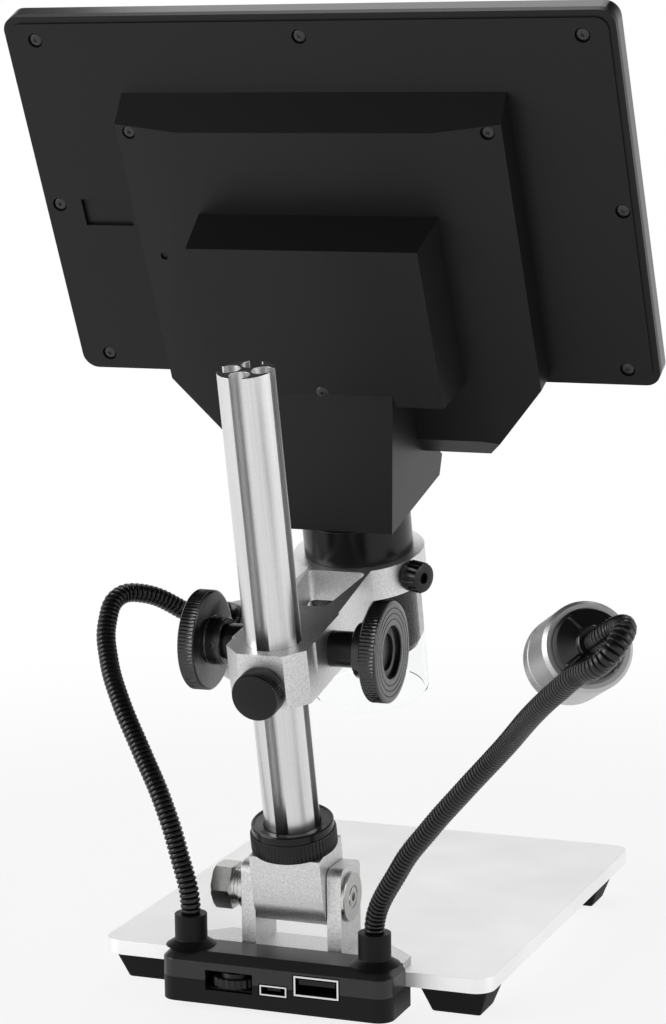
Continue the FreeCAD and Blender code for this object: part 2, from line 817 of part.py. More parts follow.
save("carriage_arm", [make_carriage()], column_frame)
save("pinion_shaft", [make_pinion_shaft()], column_frame)
save("focus_knob_right", [make_focus_knob(-1, right_boss_radius)], column_frame)
save("focus_knob_left", [make_focus_knob(1, left_boss_radius)], column_frame)
save("rear_clamp_knob", [placed(rear_clamp, clamp_frame)], column_frame)
save("ring_clamp_knob", [placed(ring_clamp, ring_knob_frame())], column_frame)


# Lens: neck, barrel, cup and optics, all about the lens axis

lens_frame = column_frame.multiply(Placement(Vector(0, -lens_offset, 0), Rotation()))
barrel_shoulder = arm_bottom - 0.3


def tail_envelope(inset=0.0):
    """Tapered tail of the inner housing, from its side outline and its front outline."""
    side = [(tail_rear_top[0] - inset, tail_upper), (tail_rear_top[0] - inset, tail_rear_top[1]),
            (tail_rear_bottom[0] - inset, tail_rear_bottom[1] + inset),
            (tail_front_bottom[0] + inset, tail_front_bottom[1] + inset),
            (tail_front_top[0] + inset, tail_front_top[1]),
            (tail_front_upper[0] + inset, tail_front_upper[1]),
            (tail_front_upper[0] + inset, tail_upper)]
    front = mirrored([(tail_top_half_width - inset, tail_upper),
                      (tail_bottom_half_width - inset, tail_rear_bottom[1])])
    return prism_x(side, 60).common(prism_y(front, -120, 0))


def under_tail():
    """Everything above the tail's sloping underside."""
    (y0, z0), (y1, z1) = tail_rear_bottom, tail_front_bottom
    slope = (z1 - z0) / (y1 - y0)
    return prism_x([(-20, z0 + slope * (-20 - y0)), (-120, z0 + slope * (-120 - y0)),
                    (-120, 160), (-20, 160)], 40)


def make_lens_neck():
    tube = rod(neck_radius, (0, -lens_offset, carriage_top), Z, 30)
    tube = tube.cut(rod(neck_radius - neck_wall, (0, -lens_offset, carriage_top + 2), Z, 30))
    tube = tube.cut(rod(barrel_neck_radius - 3, (0, -lens_offset, carriage_top), Z, 2))
    return tube.cut(under_tail())


def make_barrel():
    profile = [(barrel_radius - barrel_wall, barrel_bottom + lens_seat),
               (lens_radius, barrel_bottom + lens_seat),
               (lens_radius, barrel_bottom), (barrel_radius - 2.5, barrel_bottom),
               (barrel_radius - 0.7, barrel_bottom + 0.7), (barrel_radius, barrel_bottom + 2.5),
               (barrel_radius, barrel_shoulder), (barrel_neck_radius, barrel_shoulder),
               (barrel_neck_radius, carriage_top), (barrel_neck_radius - 2, carriage_top),
               (barrel_neck_radius - 2, barrel_shoulder - 2),
               (barrel_radius - barrel_wall, barrel_shoulder - 4)]
    return turned(profile)


def make_objective():
    z0 = barrel_bottom + 0.6
    profile = [(0, z0 + lens_thickness)]
    sag = 1.2
    for i in range(5):
        r = lens_radius * i / 4
        profile.append((r, z0 + sag * (r / lens_radius) ** 2))
    profile.append((lens_radius, z0 + lens_thickness))
    return turned(profile)


def make_led_board():
    z0 = barrel_bottom + lens_seat
    ring = rod(barrel_radius - barrel_wall - 0.1, (0, 0, z0), Z, 1.0)
    ring = ring.cut(rod(lens_radius + 0.1, (0, 0, z0), Z, 1.0))
    middle = (barrel_radius - barrel_wall + lens_radius) / 2
    chips = []
    for i in range(led_count):
        chip = block(middle - 0.9, middle + 0.9, -0.9, 0.9, z0 + 1.0, z0 + 1.7)
        chip.rotate(Vector(0, 0, 0), Z, 360 * i / led_count)
        chips.append(chip)
    return union([ring] + chips)


def make_cup():
    top = barrel_shoulder - 0.4
    inner = barrel_radius
    return turned([(inner, top), (cup_radius, top), (cup_radius, cup_bottom + 1.0),
                   (cup_radius - 0.6, cup_bottom), (cup_radius - cup_wall, cup_bottom),
                   (cup_radius - cup_wall, barrel_bottom - 2), (inner, barrel_bottom + 3)])


def make_sensor_board():
    half = sensor_board_size / 2
    z0 = carriage_top + 2.0
    board = block(-half, half, -half, half, z0, z0 + 1.2)
    chip = block(-4, 4, -4, 4, z0 + 1.2, z0 + 2.2)
    return union([board, chip])


save("lens_neck", [make_lens_neck()], column_frame)
save("lens_barrel", [make_barrel()], lens_frame)
save("objective_lens", [make_objective()], lens_frame)
save("led_ring_board", [make_led_board()], lens_frame)
save("clear_cup", [make_cup()], lens_frame)
save("sensor_board", [make_sensor_board()], lens_frame)


# Display: frame, glass, screen, rear cover and screws

def panel_slab(width, height, y0, y1, corner):
    slab = block(-width / 2, width / 2, y0, y1, -height / 2, height / 2)
    return slab.makeFillet(corner, edges_along(slab, Y))


def screw(x, z, head_y, length):
    """Pan screw driven towards the front, head under the surface."""
    head = rod(screw_head_radius, (x, head_y, z), -Y, screw_head_height)
    shank = rod(screw_shank_radius, (x, head_y - screw_head_height, z), -Y, length)
    return union([head, shank])


front_y = -panel_thickness
cover_y = -cover_thickness
lip_y = front_y + frame_lip
glass_y = lip_y + glass_thickness
lcd_y = glass_y + lcd_thickness


def make_front_frame():
    frame = panel_slab(panel_width, panel_height, front_y, cover_y, panel_corner)
    front_edges = [e for e in frame.Edges if abs(e.CenterOfMass.y - front_y) < 1e-6]
    frame = frame.makeChamfer(1.4, front_edges)
    pocket = panel_slab(panel_width - 2 * frame_wall, panel_height - 2 * frame_wall,
                        lip_y, cover_y, 1.5)
    window = block(-window_width / 2, window_width / 2, front_y, cover_y,
                   -window_height / 2, window_height / 2)
    frame = frame.cut(pocket).cut(window)
    posts = [rod(1.9, (x, lip_y, z), Y, cover_y - lip_y) for x, z in cover_screw_places]
    return union([frame] + posts)


def make_rear_cover():
    cover = panel_slab(panel_width, panel_height, cover_y, 0, panel_corner)
    rim = panel_slab(panel_width, panel_height, -cover_step_depth, 0, panel_corner)
    field = panel_slab(panel_width - 2 * cover_step, panel_height - 2 * cover_step,
                       -cover_step_depth, 0, panel_corner - 1)
    cover = cover.cut(rim.cut(field))
    x0, x1, z0, z1 = cable_recess
    cover = cover.cut(block(x0, x1, -cable_recess_depth, 0, z0, z1))
    cover = cover.cut(block(-18, 18, cover_y, 0, -30, -6))
    for x, z in cover_screw_places:
        cover = cover.cut(rod(screw_head_radius + 0.15, (x, -screw_head_height - 0.2, z), Y, 2))
        cover = cover.cut(rod(screw_shank_radius, (x, cover_y, z), Y, cover_thickness))
    return cover


save("front_frame", [make_front_frame()], display_frame)
save("screen_glass", [block(-lcd_width / 2, lcd_width / 2, lip_y, glass_y,
                            -lcd_height / 2, lcd_height / 2)], display_frame)
save("lcd_panel", [block(-lcd_width / 2, lcd_width / 2, glass_y, lcd_y,
                         -lcd_height / 2, lcd_height / 2)], display_frame)
save("rear_cover", [make_rear_cover()], display_frame)
save("cover_screws", [screw(x, z, -0.2, cover_thickness - 0.2 - screw_head_height)
                      for x, z in cover_screw_places], display_frame)


# Middle housing with buttons, ports and board

strip_top = -panel_height / 2 - strip_gap
strip_slope = 1.5
button_z = (strip_top + housing_bottom + strip_slope) / 2
button_places = [((i - (button_count - 1) / 2) * button_pitch, button_z)
                 for i in range(button_count)]


def housing_envelope(inset, panel_side):
    """Common volume of the front, top and side outlines, shrunk by an inset."""
    front = mirrored([(housing_half_width - inset, housing_top_skirt - inset),
                      (housing_skirt_half_width - inset, housing_side_bottom),
                      (housing_bottom_half_width - inset * 0.6, housing_bottom + inset)])
    top = [(-housing_skirt_half_width + inset, front_y - 1),
           (housing_skirt_half_width - inset, front_y - 1),
           (housing_half_width - inset, housing_wing_depth - inset),
           (housing_fold, housing_depth - inset), (-housing_fold, housing_depth - inset),
           (-housing_half_width + inset, housing_wing_depth - inset)]
    side = [(housing_depth - inset, housing_top - inset),
            (panel_side, housing_top_skirt - inset),
            (panel_side, strip_top - inset), (front_y + inset, strip_top - inset),
            (front_y + inset, housing_bottom + inset + strip_slope),
            (housing_chin_depth - inset, housing_bottom + inset),
            (housing_depth - inset, housing_face_bottom + inset)]
    solid = prism_y(front, -20, 20).common(prism_z(top, -90, 60))
    return solid.common(prism_x(side, 80))


def make_middle_housing():
    shell = housing_envelope(0, 0).cut(housing_envelope(housing_wall, -0.4))
    opening = block(-inner_half_width + 4, inner_half_width - 4, 0, housing_depth + 1,
                    inner_bottom + 4, inner_top - 4)
    shell = shell.cut(opening)
    for x, z in button_places:
        shell = shell.cut(rod(button_radius + button_gap, (x, front_y - 1, z), Y,
                              housing_wall + 1.5))
    x, z = reset_place
    shell = shell.cut(rod(reset_radius + 0.15, (x, 0, z), Y, housing_depth + 1))
    for x, z in housing_screw_places:
        post = rod(2.4, (x, 0, z), Y, wing_y(x) - 0.6)
        shell = union([shell, post])
        shell = shell.cut(rod(screw_shank_radius, (x, 0, z), Y, housing_depth))
        shell = shell.cut(rod(screw_head_radius, (x, wing_y(x) - 1.6, z), Y, 4))
    for cutter in port_cutters():
        shell = shell.cut(cutter)
    return shell


def wing_y(x):
    """Depth of the housing's outer face at a distance from the middle."""
    share = max(0.0, (abs(x) - housing_fold) / (housing_half_width - housing_fold))
    return housing_depth + (housing_wing_depth - housing_depth) * share


def port(z_centre, y_centre, length, height, depth, gap):
    """Port box in the left side wall: length runs up the wall."""
    outer = housing_half_width + 2 if gap else housing_half_width - 0.3
    return block(housing_half_width - depth - gap, outer, y_centre - height / 2 - gap,
                 y_centre + height / 2 + gap, z_centre - length / 2 - gap,
                 z_centre + length / 2 + gap)


main_board_y = 1.4
main_board_top = main_board_y + board_thickness
hdmi = (12.0, main_board_top + 1.6, 11.4, 3.2, 8.0)
card = (-27.0, main_board_top + 0.9, 12.0, 1.8, 12.0)
switch_z = -42.0
switch_travel = 2.0


def port_cutters():
    slot = block(housing_half_width - 4, housing_half_width + 2, main_board_top + 0.3,
                 main_board_top + 2.3, switch_z - 3.2, switch_z + 3.2)
    return [port(*hdmi, 0.2), port(*card, 0.2), slot]


def make_hdmi():
    z, y, length, height, depth = hdmi
    body = port(*hdmi, 0)
    cavity = block(housing_half_width - depth + 0.5, housing_half_width, y - height / 2 + 0.4,
                   y + height / 2 - 0.4, z - length / 2 + 0.4, z + length / 2 - 0.4)
    tongue = block(housing_half_width - depth, housing_half_width - 1, y - 0.3, y + 0.3,
                   z - length / 2 + 1.2, z + length / 2 - 1.2)
    return union([body.cut(cavity), tongue])


def make_card_slot():
    z, y, length, height, depth = card
    body = port(*card, 0)
    return body.cut(block(housing_half_width - depth + 1, housing_half_width, y - 0.45, y + 0.45,
                          z - length / 2 + 0.5, z + length / 2 - 0.5))


def make_switch():
    """Slider that stands a little proud of the wall and rides on the board."""
    knob = block(housing_half_width - 3, housing_half_width + 0.5, main_board_top + 0.5,
                 main_board_top + 2.1, switch_z - 1.0 - 0.2, switch_z + 1.0 - 0.2)
    foot = block(housing_half_width - 5, housing_half_width - 2.4, main_board_top + 0.05,
                 main_board_top + 2.6, switch_z - 2.2, switch_z + 1.8)
    return union([knob, foot])


def make_main_board():
    board = block(-46, housing_half_width - 2.3, main_board_y, main_board_top, -48, 20)
    chips = [block(-14, 2, main_board_top, main_board_top + 1.2, 2, 18),
             block(12, 24, main_board_top, main_board_top + 1.0, 2, 12),
             block(-40, -30, main_board_top, main_board_top + 2.0, -40, -20)]
    x, z = reset_place
    switch = block(x - 2, x + 2, main_board_top, main_board_top + 1.6, z - 2, z + 2)
    edge = block(-34, 34, main_board_y, main_board_top, -60, -48)
    return union([board, switch, edge] + chips)


def make_button(x, z):
    cap = rod(button_radius, (x, front_y - button_proud, z), Y, button_proud + housing_wall + 0.9)
    flange = rod(button_radius + button_flange, (x, front_y + housing_wall + 0.15, z), Y, 0.8)
    rear = front_y + housing_wall + 0.9
    plunger = block(x - 1, x + 1, rear, main_board_y - button_travel - 0.1, z - 1, z + 1)
    dome = cone(button_radius - 0.5, button_radius, (x, front_y - button_proud - 0.4, z), Y, 0.4)
    return union([dome, cap, flange, plunger])


def make_reset():
    x, z = reset_place
    start = main_board_top + 1.6 + reset_travel + 0.1
    stem = rod(reset_radius, (x, start, z), Y, wing_y(x) - 0.8 - start)
    flange = rod(1.7, (x, start, z), Y, 0.8)
    return union([stem, flange])


def housing_screw(x, z):
    top = wing_y(x) - 0.3
    head = rod(screw_head_radius - 0.1, (x, top - 1.1, z), Y, 1.1)
    return union([head, rod(screw_shank_radius, (x, 0.2, z), Y, top - 1.2)])


save("middle_housing", [make_middle_housing()], display_frame)
save("main_board", [make_main_board()], display_frame)
save("hdmi_socket", [make_hdmi()], display_frame)
save("card_slot", [make_card_slot()], display_frame)
save("power_switch", [make_switch()], display_frame)
save("reset_button", [make_reset()], display_frame)
save("housing_screws", [housing_screw(x, z) for x, z in housing_screw_places], display_frame)
for number, (x, z) in enumerate(button_places, start=1):
    save("button_%d" % number, [make_button(x, z)], display_frame)


# Inner housing with the battery pack

def inner_box(inset):
    """Battery box on the middle housing, a loft from its skirt to its rear face."""
    def outline(y, half, top, bottom):
        return Part.makePolygon([Vector(half, y, top), Vector(half, y, bottom),
                                 Vector(-half, y, bottom), Vector(-half, y, top),
                                 Vector(half, y, top)])
    skirt = outline(housing_depth, inner_skirt_half_width - inset, inner_top_skirt - inset,
                    inner_bottom - 1.5 + inset)
    face = outline(inner_depth - inset, inner_half_width - inset, inner_top - inset,
                   inner_bottom + inset)
    return Part.makeLoft([skirt, face], True, True)


def make_inner_housing():
    tail_to_display = display_frame.inverse().multiply(column_frame)
    tail = placed(tail_envelope(), tail_to_display)
    hollow = placed(tail_envelope(inner_wall), tail_to_display)
    outside = union([inner_box(0), tail])
    shell = outside.cut(inner_box(inner_wall)).cut(hollow)
    shell = shell.cut(housing_envelope(0, 0))
    keep_off_panel = block(-100, 100, front_y - 30, 0.3, -strip_gap + strip_top, 100)
    shell = shell.cut(keep_off_panel)
    return max(shell.Solids, key=lambda s: s.Volume)


def make_battery():
    width, depth, height = pack_size
    y = inner_depth - inner_wall - 0.3
    z = pack_middle
    return block(-width / 2, width / 2, y - depth, y, z - height / 2, z + height / 2)


save("inner_housing", [make_inner_housing()], display_frame)
save("battery_pack", [make_battery()], display_frame)


# Goosenecks and lamps

def neck_curve(start, points, end, aim):
    """Smooth centreline that leaves and arrives straight for one tube diameter."""
    straight = 2 * neck_tube_radius
    aim = Vector(*aim).normalize()
    first = Vector(*start)
    last = Vector(*end)
    inner = [first + Z * straight] + [Vector(*p) for p in points] + [last - aim * straight]
    curve = Part.BSplineCurve()
    curve.interpolate(Points=inner, InitialTangent=Z * 60, FinalTangent=aim * 60)
    return first, curve, last, aim


def neck_stations(start, points, end, aim, ribs):
    """Place, direction and radius of each circle along the neck, four to a rib."""
    first, curve, last, aim = neck_curve(start, points, end, aim)
    straight = 2 * neck_tube_radius
    length = curve.length()
    total = length + 2 * straight
    pitch = total / ribs
    stations = []
    for i in range(ribs):
        for share, radius in ((0.0, neck_groove_radius), (0.22, neck_groove_radius),
                              (0.36, neck_tube_radius), (0.86, neck_tube_radius)):
            along = (i + share) * pitch
            if along <= straight:
                place, direction = first + Z * along, Z
            elif along >= straight + length:
                place, direction = last - aim * (total - along), aim
            else:
                u = curve.parameterAtDistance(along - straight)
                place, direction = curve.value(u), Vector(*curve.tangent(u)[0])
            stations.append((place, direction, radius))
    stations.append((last, aim, neck_groove_radius))
    return stations, total


def make_neck(start, points, end, aim, ribs):
    stations, total = neck_stations(start, points, end, aim, ribs)
    side = X
    circles = []
    for place, direction, radius in stations:
        side = (side - direction * side.dot(direction)).normalize()
        frame = Placement(place, Rotation(side, direction.cross(side), direction, "ZXY"))
        circle = Part.makeCircle(radius)
        circles.append(Part.Wire([placed(circle, frame)]))
    print("neck length", round(total, 1), "ribs", ribs)
    return Part.makeLoft(circles, True, True)


def make_lamp_cap():
    """Rear cap with a boss for the neck and raised radial ribs; Z points to the front."""
    boss = rod(lamp_boss_radius, (0, 0, 0), Z, lamp_boss_length)
    cap = cone(lamp_cap_radius - 0.5, lamp_cap_radius, (0, 0, lamp_boss_length - 1.0), Z, 0.5)
    disc = rod(lamp_cap_radius, (0, 0, lamp_boss_length - 0.5), Z, lamp_cap_length + 0.5)
    ribs = []
    for i in range(4):
        rib = block(3, lamp_cap_radius - 1.0, -0.55, 0.55, lamp_boss_length - 1.8,
                    lamp_boss_length)
        rib.rotate(Vector(0, 0, 0), Z, 90 * i + 20)
        ribs.append(rib)
    return union([boss, cap, disc] + ribs)


lamp_rear = lamp_boss_length + lamp_cap_length
lamp_front = lamp_rear + lamp_length - lamp_cap_length


def make_lamp_body():
    groove = lamp_front - 6.0
    profile = [(0, lamp_rear), (lamp_cap_radius + 0.6, lamp_rear), (lamp_radius, lamp_rear + 1.6),
               (lamp_radius, groove), (lamp_radius - 0.5, groove + 0.3),
               (lamp_radius - 0.5, groove + 1.1), (lamp_radius, groove + 1.4),
               (lamp_radius, lamp_front - 0.6), (lamp_radius - 0.6, lamp_front),
               (lamp_bore, lamp_front), (lamp_bore, lamp_front - lamp_bore_depth),
               (0, lamp_front - lamp_bore_depth)]
    return turned(profile)


def make_lamp_lens():
    z1 = lamp_front - lamp_lens_inset
    return turned([(0, z1 - lamp_lens_thickness), (lamp_bore, z1 - lamp_lens_thickness),
                   (lamp_bore, z1 - 0.8), (lamp_bore * 0.7, z1 - 0.2), (0, z1)])


def make_lamp_led():
    z0 = lamp_front - lamp_bore_depth
    return union([rod(lamp_bore - 0.3, (0, 0, z0), Z, 1.2),
                  block(-2.2, 2.2, -2.2, 2.2, z0 + 1.2, z0 + 2.2)])


def from_plate_rear(point):
    return (point[0], plate_rear + point[1], point[2])


for name, side, points, place, aim, ribs in (
        ("left", 1, left_neck_points, left_lamp_place, left_lamp_aim, left_neck_ribs),
        ("right", -1, right_neck_points, right_lamp_place, right_lamp_aim, right_neck_ribs)):
    root = (side * ferrule_x, ferrule_y, ferrule_top)
    end = from_plate_rear(place)
    lamp_frame = aimed(end, aim)
    route = [from_plate_rear(point) for point in points]
    save(name + "_gooseneck", [make_neck(root, route, end, aim, ribs)])
    save(name + "_lamp_cap", [make_lamp_cap()], lamp_frame)
    save(name + "_lamp_body", [make_lamp_body()], lamp_frame)
    save(name + "_lamp_lens", [make_lamp_lens()], lamp_frame)
    save(name + "_lamp_led", [make_lamp_led()], lamp_frame)
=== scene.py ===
# %% [markdown]
# A digital microscope with a tilting display, dressed for a studio picture.
# The shapes that carry load and move were packed by the CAD step. This notebook loads them as
# a fixed frame, gives every surface a finish, and adds the pieces whose charm is in fine
# detail: ribbed goosenecks, knurled knobs, cross-head screws and turned metal faces.

# %% Load the frame
import json
import math

import bmesh
import bpy
from mathutils import Matrix, Vector

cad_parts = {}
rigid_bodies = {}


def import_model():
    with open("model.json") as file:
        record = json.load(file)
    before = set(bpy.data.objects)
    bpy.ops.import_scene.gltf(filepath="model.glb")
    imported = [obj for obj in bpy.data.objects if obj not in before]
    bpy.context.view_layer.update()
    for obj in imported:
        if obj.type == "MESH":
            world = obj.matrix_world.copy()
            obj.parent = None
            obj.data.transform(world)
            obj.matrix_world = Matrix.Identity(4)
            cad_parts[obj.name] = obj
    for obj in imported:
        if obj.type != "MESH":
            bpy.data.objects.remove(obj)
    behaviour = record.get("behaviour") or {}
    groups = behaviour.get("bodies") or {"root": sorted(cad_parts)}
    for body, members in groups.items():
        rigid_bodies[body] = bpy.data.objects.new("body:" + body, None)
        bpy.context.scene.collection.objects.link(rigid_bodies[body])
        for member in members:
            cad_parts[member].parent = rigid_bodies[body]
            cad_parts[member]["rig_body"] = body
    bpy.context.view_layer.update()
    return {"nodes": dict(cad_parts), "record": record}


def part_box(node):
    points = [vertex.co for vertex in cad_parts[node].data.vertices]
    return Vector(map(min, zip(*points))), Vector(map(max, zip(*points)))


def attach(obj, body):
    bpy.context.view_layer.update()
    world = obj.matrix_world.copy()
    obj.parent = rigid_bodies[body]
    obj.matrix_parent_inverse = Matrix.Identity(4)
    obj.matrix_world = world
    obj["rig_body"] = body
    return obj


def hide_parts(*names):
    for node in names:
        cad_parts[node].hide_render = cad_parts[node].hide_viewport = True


bpy.ops.object.select_all(action="SELECT")
bpy.ops.object.delete()
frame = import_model()
nodes = frame["nodes"]

# %% [markdown]
# The drawing was made about the middle of the base plate, on the floor, in millimetres. The
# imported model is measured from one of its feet. So every place below is written as on the
# drawing and moved by HOME. Two tilted frames help: the column leans back about the hinge
# bolt, and the display leans back a little more. A piece is drawn upright in its own frame,
# and the frame's matrix carries it to where it belongs.

# %% Places
MM = 0.001
plate_low, plate_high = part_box("base_plate")
HOME = Vector(((plate_low.x + plate_high.x) / 2, (plate_low.y + plate_high.y) / 2, 0.0))


def at(x, y, z):
    """A shift by millimetres."""
    return Matrix.Translation(Vector((x, y, z)) * MM)


def lean(degrees):
    return Matrix.Rotation(math.radians(degrees), 4, "X")


def facing(direction):
    """A turn that takes Z to a direction."""
    return Vector(direction).to_track_quat("Z", "Y").to_matrix().to_4x4()


HINGE = (62.5, 30.4)
COLUMN_LEAN, DISPLAY_LEAN = -12, -13
DRAWING = Matrix.Translation(HOME)
COLUMN = DRAWING @ at(0, *HINGE) @ lean(COLUMN_LEAN)
DISPLAY = COLUMN @ at(0, -68.9, 179.6) @ lean(DISPLAY_LEAN)
LENS = COLUMN @ at(0, -67, 0)
print("home", [round(v, 4) for v in HOME])

# %% [markdown]
# The camera stands behind the microscope, about as high as the top of the display, and looks a
# little down. Its place and lens were found by fitting corners of the photograph, so it is set
# from its place, three turns and a focal length in pixels. The shift moves the middle of the
# lens to where the fit found it.

# %% Camera
PHOTO_WIDTH, PHOTO_HEIGHT = 666, 1024
CENTRE_ACROSS, CENTRE_DOWN = 315.73, 474.39
FOCAL_PIXELS = 3014.3
SENSOR_WIDTH = 36.0
CAMERA_PLACE = HOME + Vector((-0.30713, 0.81577, 0.27410))
CAMERA_TURN = math.radians(201.75)
CAMERA_DROP = math.radians(8.81)
CAMERA_ROLL = math.radians(-0.808)
look = Vector((-math.sin(CAMERA_TURN) * math.cos(CAMERA_DROP),
               math.cos(CAMERA_TURN) * math.cos(CAMERA_DROP), -math.sin(CAMERA_DROP)))
level = Vector((math.cos(CAMERA_TURN), math.sin(CAMERA_TURN), 0.0))
above = level.cross(look)
right = level * math.cos(CAMERA_ROLL) + above * math.sin(CAMERA_ROLL)
upward = above * math.cos(CAMERA_ROLL) - level * math.sin(CAMERA_ROLL)

bpy.ops.object.camera_add(location=CAMERA_PLACE)
camera = bpy.context.object
camera.matrix_world = Matrix.Translation(CAMERA_PLACE) @ Matrix(
    (right, upward, -look)).transposed().to_4x4()
camera.data.sensor_width = SENSOR_WIDTH
camera.data.lens = FOCAL_PIXELS / PHOTO_HEIGHT * SENSOR_WIDTH
camera.data.shift_x = (PHOTO_WIDTH / 2 - CENTRE_ACROSS) / PHOTO_HEIGHT
camera.data.shift_y = (CENTRE_DOWN - PHOTO_HEIGHT / 2) / PHOTO_HEIGHT
camera.data.clip_start = 0.05
camera.data.clip_end = 20
bpy.context.scene.camera = camera
bpy.context.scene.view_settings.view_transform = "Standard"
print("camera", [round(v, 3) for v in camera.location], "lens", round(camera.data.lens, 1))

# %% [markdown]
# Shader nodes are easier to read as sums. A Field holds one socket, and each operator on it
# adds the Math node that does the same, also when a plain number stands on the left. Every
# other node of a material comes from Finish.node: the type, then settings, then what its
# sockets take. Patterns read Object coordinates, which sit still on the piece from any side.

# %% Fields and finishes


class Field:
    """A socket that can be used in sums."""

    def __init__(self, finish, socket):
        self.finish, self.socket = finish, socket

    def _math(self, operation, first, second):
        return self.finish.node("ShaderNodeMath", {"operation": operation}, {0: first, 1: second})

    def __add__(self, other):
        return self._math("ADD", self, other)

    def __radd__(self, other):
        return self._math("ADD", other, self)

    def __sub__(self, other):
        return self._math("SUBTRACT", self, other)

    def __rsub__(self, other):
        return self._math("SUBTRACT", other, self)

    def __mul__(self, other):
        return self._math("MULTIPLY", self, other)

    def __rmul__(self, other):
        return self._math("MULTIPLY", other, self)

    def __gt__(self, other):
        return self._math("GREATER_THAN", self, other)


class Finish:
    """One material: a Principled shader and the nodes that feed it."""

    def __init__(self, name, **constants):
        self.material = bpy.data.materials.new(name)
        self.material.use_nodes = True
        self.tree = self.material.node_tree
        self.shader = self.tree.nodes["Principled BSDF"]
        for socket, value in constants.items():
            self.shader.inputs[socket.replace("_", " ")].default_value = value

    def node(self, kind, settings=None, inputs=None, output=0):
        made = self.tree.nodes.new(kind)
        for key, value in (settings or {}).items():
            setattr(made, key, value)
        for key, value in (inputs or {}).items():
            if isinstance(value, Field):
                self.tree.links.new(value.socket, made.inputs[key])
            else:
                made.inputs[key].default_value = value
        return Field(self, made.outputs[output])

    def feed(self, socket, field):
        self.tree.links.new(field.socket, self.shader.inputs[socket])

    def place(self, stretch=(1, 1, 1), turn=(0, 0, 0), centre=(0, 0, 0)):
        """Object coordinates about a centre, turned, then stretched."""
        here = self.node("ShaderNodeTexCoord", output="Object")
        moved = self.node("ShaderNodeMapping", {"vector_type": "TEXTURE"},
                          {"Vector": here, "Location": centre, "Rotation": turn})
        return self.node("ShaderNodeVectorMath", {"operation": "MULTIPLY"},
                         {0: moved, 1: stretch})

    def noise(self, scale, detail=2.0, where=None):
        return self.node("ShaderNodeTexNoise", None,
                         {"Vector": where or self.place(), "Scale": scale, "Detail": detail})

    def blend(self, factor, low, high):
        return self.node("ShaderNodeMix", {"data_type": "RGBA"},
                         {"Factor": factor, 6: low, 7: high}, output=2)

    def bump(self, height, depth):
        """Depth is how far the surface rises, in metres, where the height goes from 0 to 1."""
        self.feed("Normal", self.node("ShaderNodeBump", None, {
            "Height": height, "Distance": depth, "Strength": 1.0}))


def grey(value, tint=(1.0, 1.0, 1.0)):
    return (value * tint[0], value * tint[1], value * tint[2], 1.0)


print("a finish is a material with named sockets:", len(bpy.data.materials), "so far")

# %% [markdown]
# Metals first. The plate is anodised to a fine even satin. The cast bracket, block and carriage
# were blasted with beads, so their silver sparkles in grains a fraction of a millimetre wide.
# The column was drawn through a die, which leaves fine streaks along it. All of them are
# metallic, with the grain in the roughness and in a shallow bump.

# %% Metal finishes
MIDDLE = 0.5


def blasted(name, colour, rough, grain, depth, contrast):
    """Bead-blasted or satin metal: grains of one size in tone, gloss and height."""
    finish = Finish(name, Metallic=1.0)
    fine = finish.noise(grain, 3.0)
    broad = finish.noise(40.0, 1.0)
    tone = (fine - MIDDLE) * contrast + broad * 0.4 + 0.3
    finish.feed("Base Color", finish.blend(tone, grey(colour * 0.75), grey(colour * 1.12)))
    finish.feed("Roughness", rough + fine * 0.16)
    finish.bump(fine, depth)
    return finish.material


def drawn(name, colour, rough, lean_angle):
    """Metal drawn through a die: long streaks along the column."""
    finish = Finish(name, Metallic=1.0)
    along = finish.place(stretch=(1, 1, 0.012), turn=(lean_angle, 0, 0))
    streak = finish.noise(3200.0, 2.0, along)
    grain = finish.noise(1800.0, 2.0)
    finish.feed("Base Color", finish.blend(streak * 0.7 + grain * 0.3, grey(colour * 0.74),
                                           grey(colour * 1.15)))
    finish.feed("Roughness", rough + streak * 0.12)
    finish.bump(streak * 0.7 + grain * 0.3, 0.00003)
    return finish.material


def bright_plate(name, colour, rough):
    """Zinc plate and tinned steel: nearly smooth, with faint handling marks."""
    finish = Finish(name, Metallic=1.0)
    marks = finish.noise(900.0, 4.0)
    finish.feed("Base Color", finish.blend(marks, (*[c * 0.8 for c in colour], 1), (*colour, 1)))
    finish.feed("Roughness", rough + marks * 0.14)
    return finish.material


FINISHES = {
    "plate_aluminium": blasted("plate_satin", colour=0.97, rough=0.36, grain=2600.0,
                               depth=0.00001, contrast=0.3),
    "cast_aluminium": blasted("cast_beadblast", colour=0.74, rough=0.34, grain=1900.0,
                              depth=0.00003, contrast=2.0),
    "column_aluminium": drawn("column_drawn", colour=0.74, rough=0.28,
                              lean_angle=math.radians(COLUMN_LEAN)),
    "zinc_steel": bright_plate("zinc_bright", colour=(0.70, 0.70, 0.68), rough=0.16),
    "socket_steel": bright_plate("socket_tin", colour=(0.78, 0.78, 0.77), rough=0.18),
    "lamp_silver": blasted("lamp_satin", colour=0.52, rough=0.34, grain=3000.0,
                           depth=0.00001, contrast=1.0),
}
print("metals", sorted(FINISHES))

# %% [markdown]
# Black plastic is never just black: a moulded housing has a fine spark-eroded grain that
# spreads the highlights, and the sheen changes a little from place to place. Anodised black
# metal is smoother and shinier. Rubber is duller than both. All of them use the same recipe
# with a different grain size, depth and gloss. Grain counts waves in a metre, and depth is in
# metres.

# %% Dark finishes


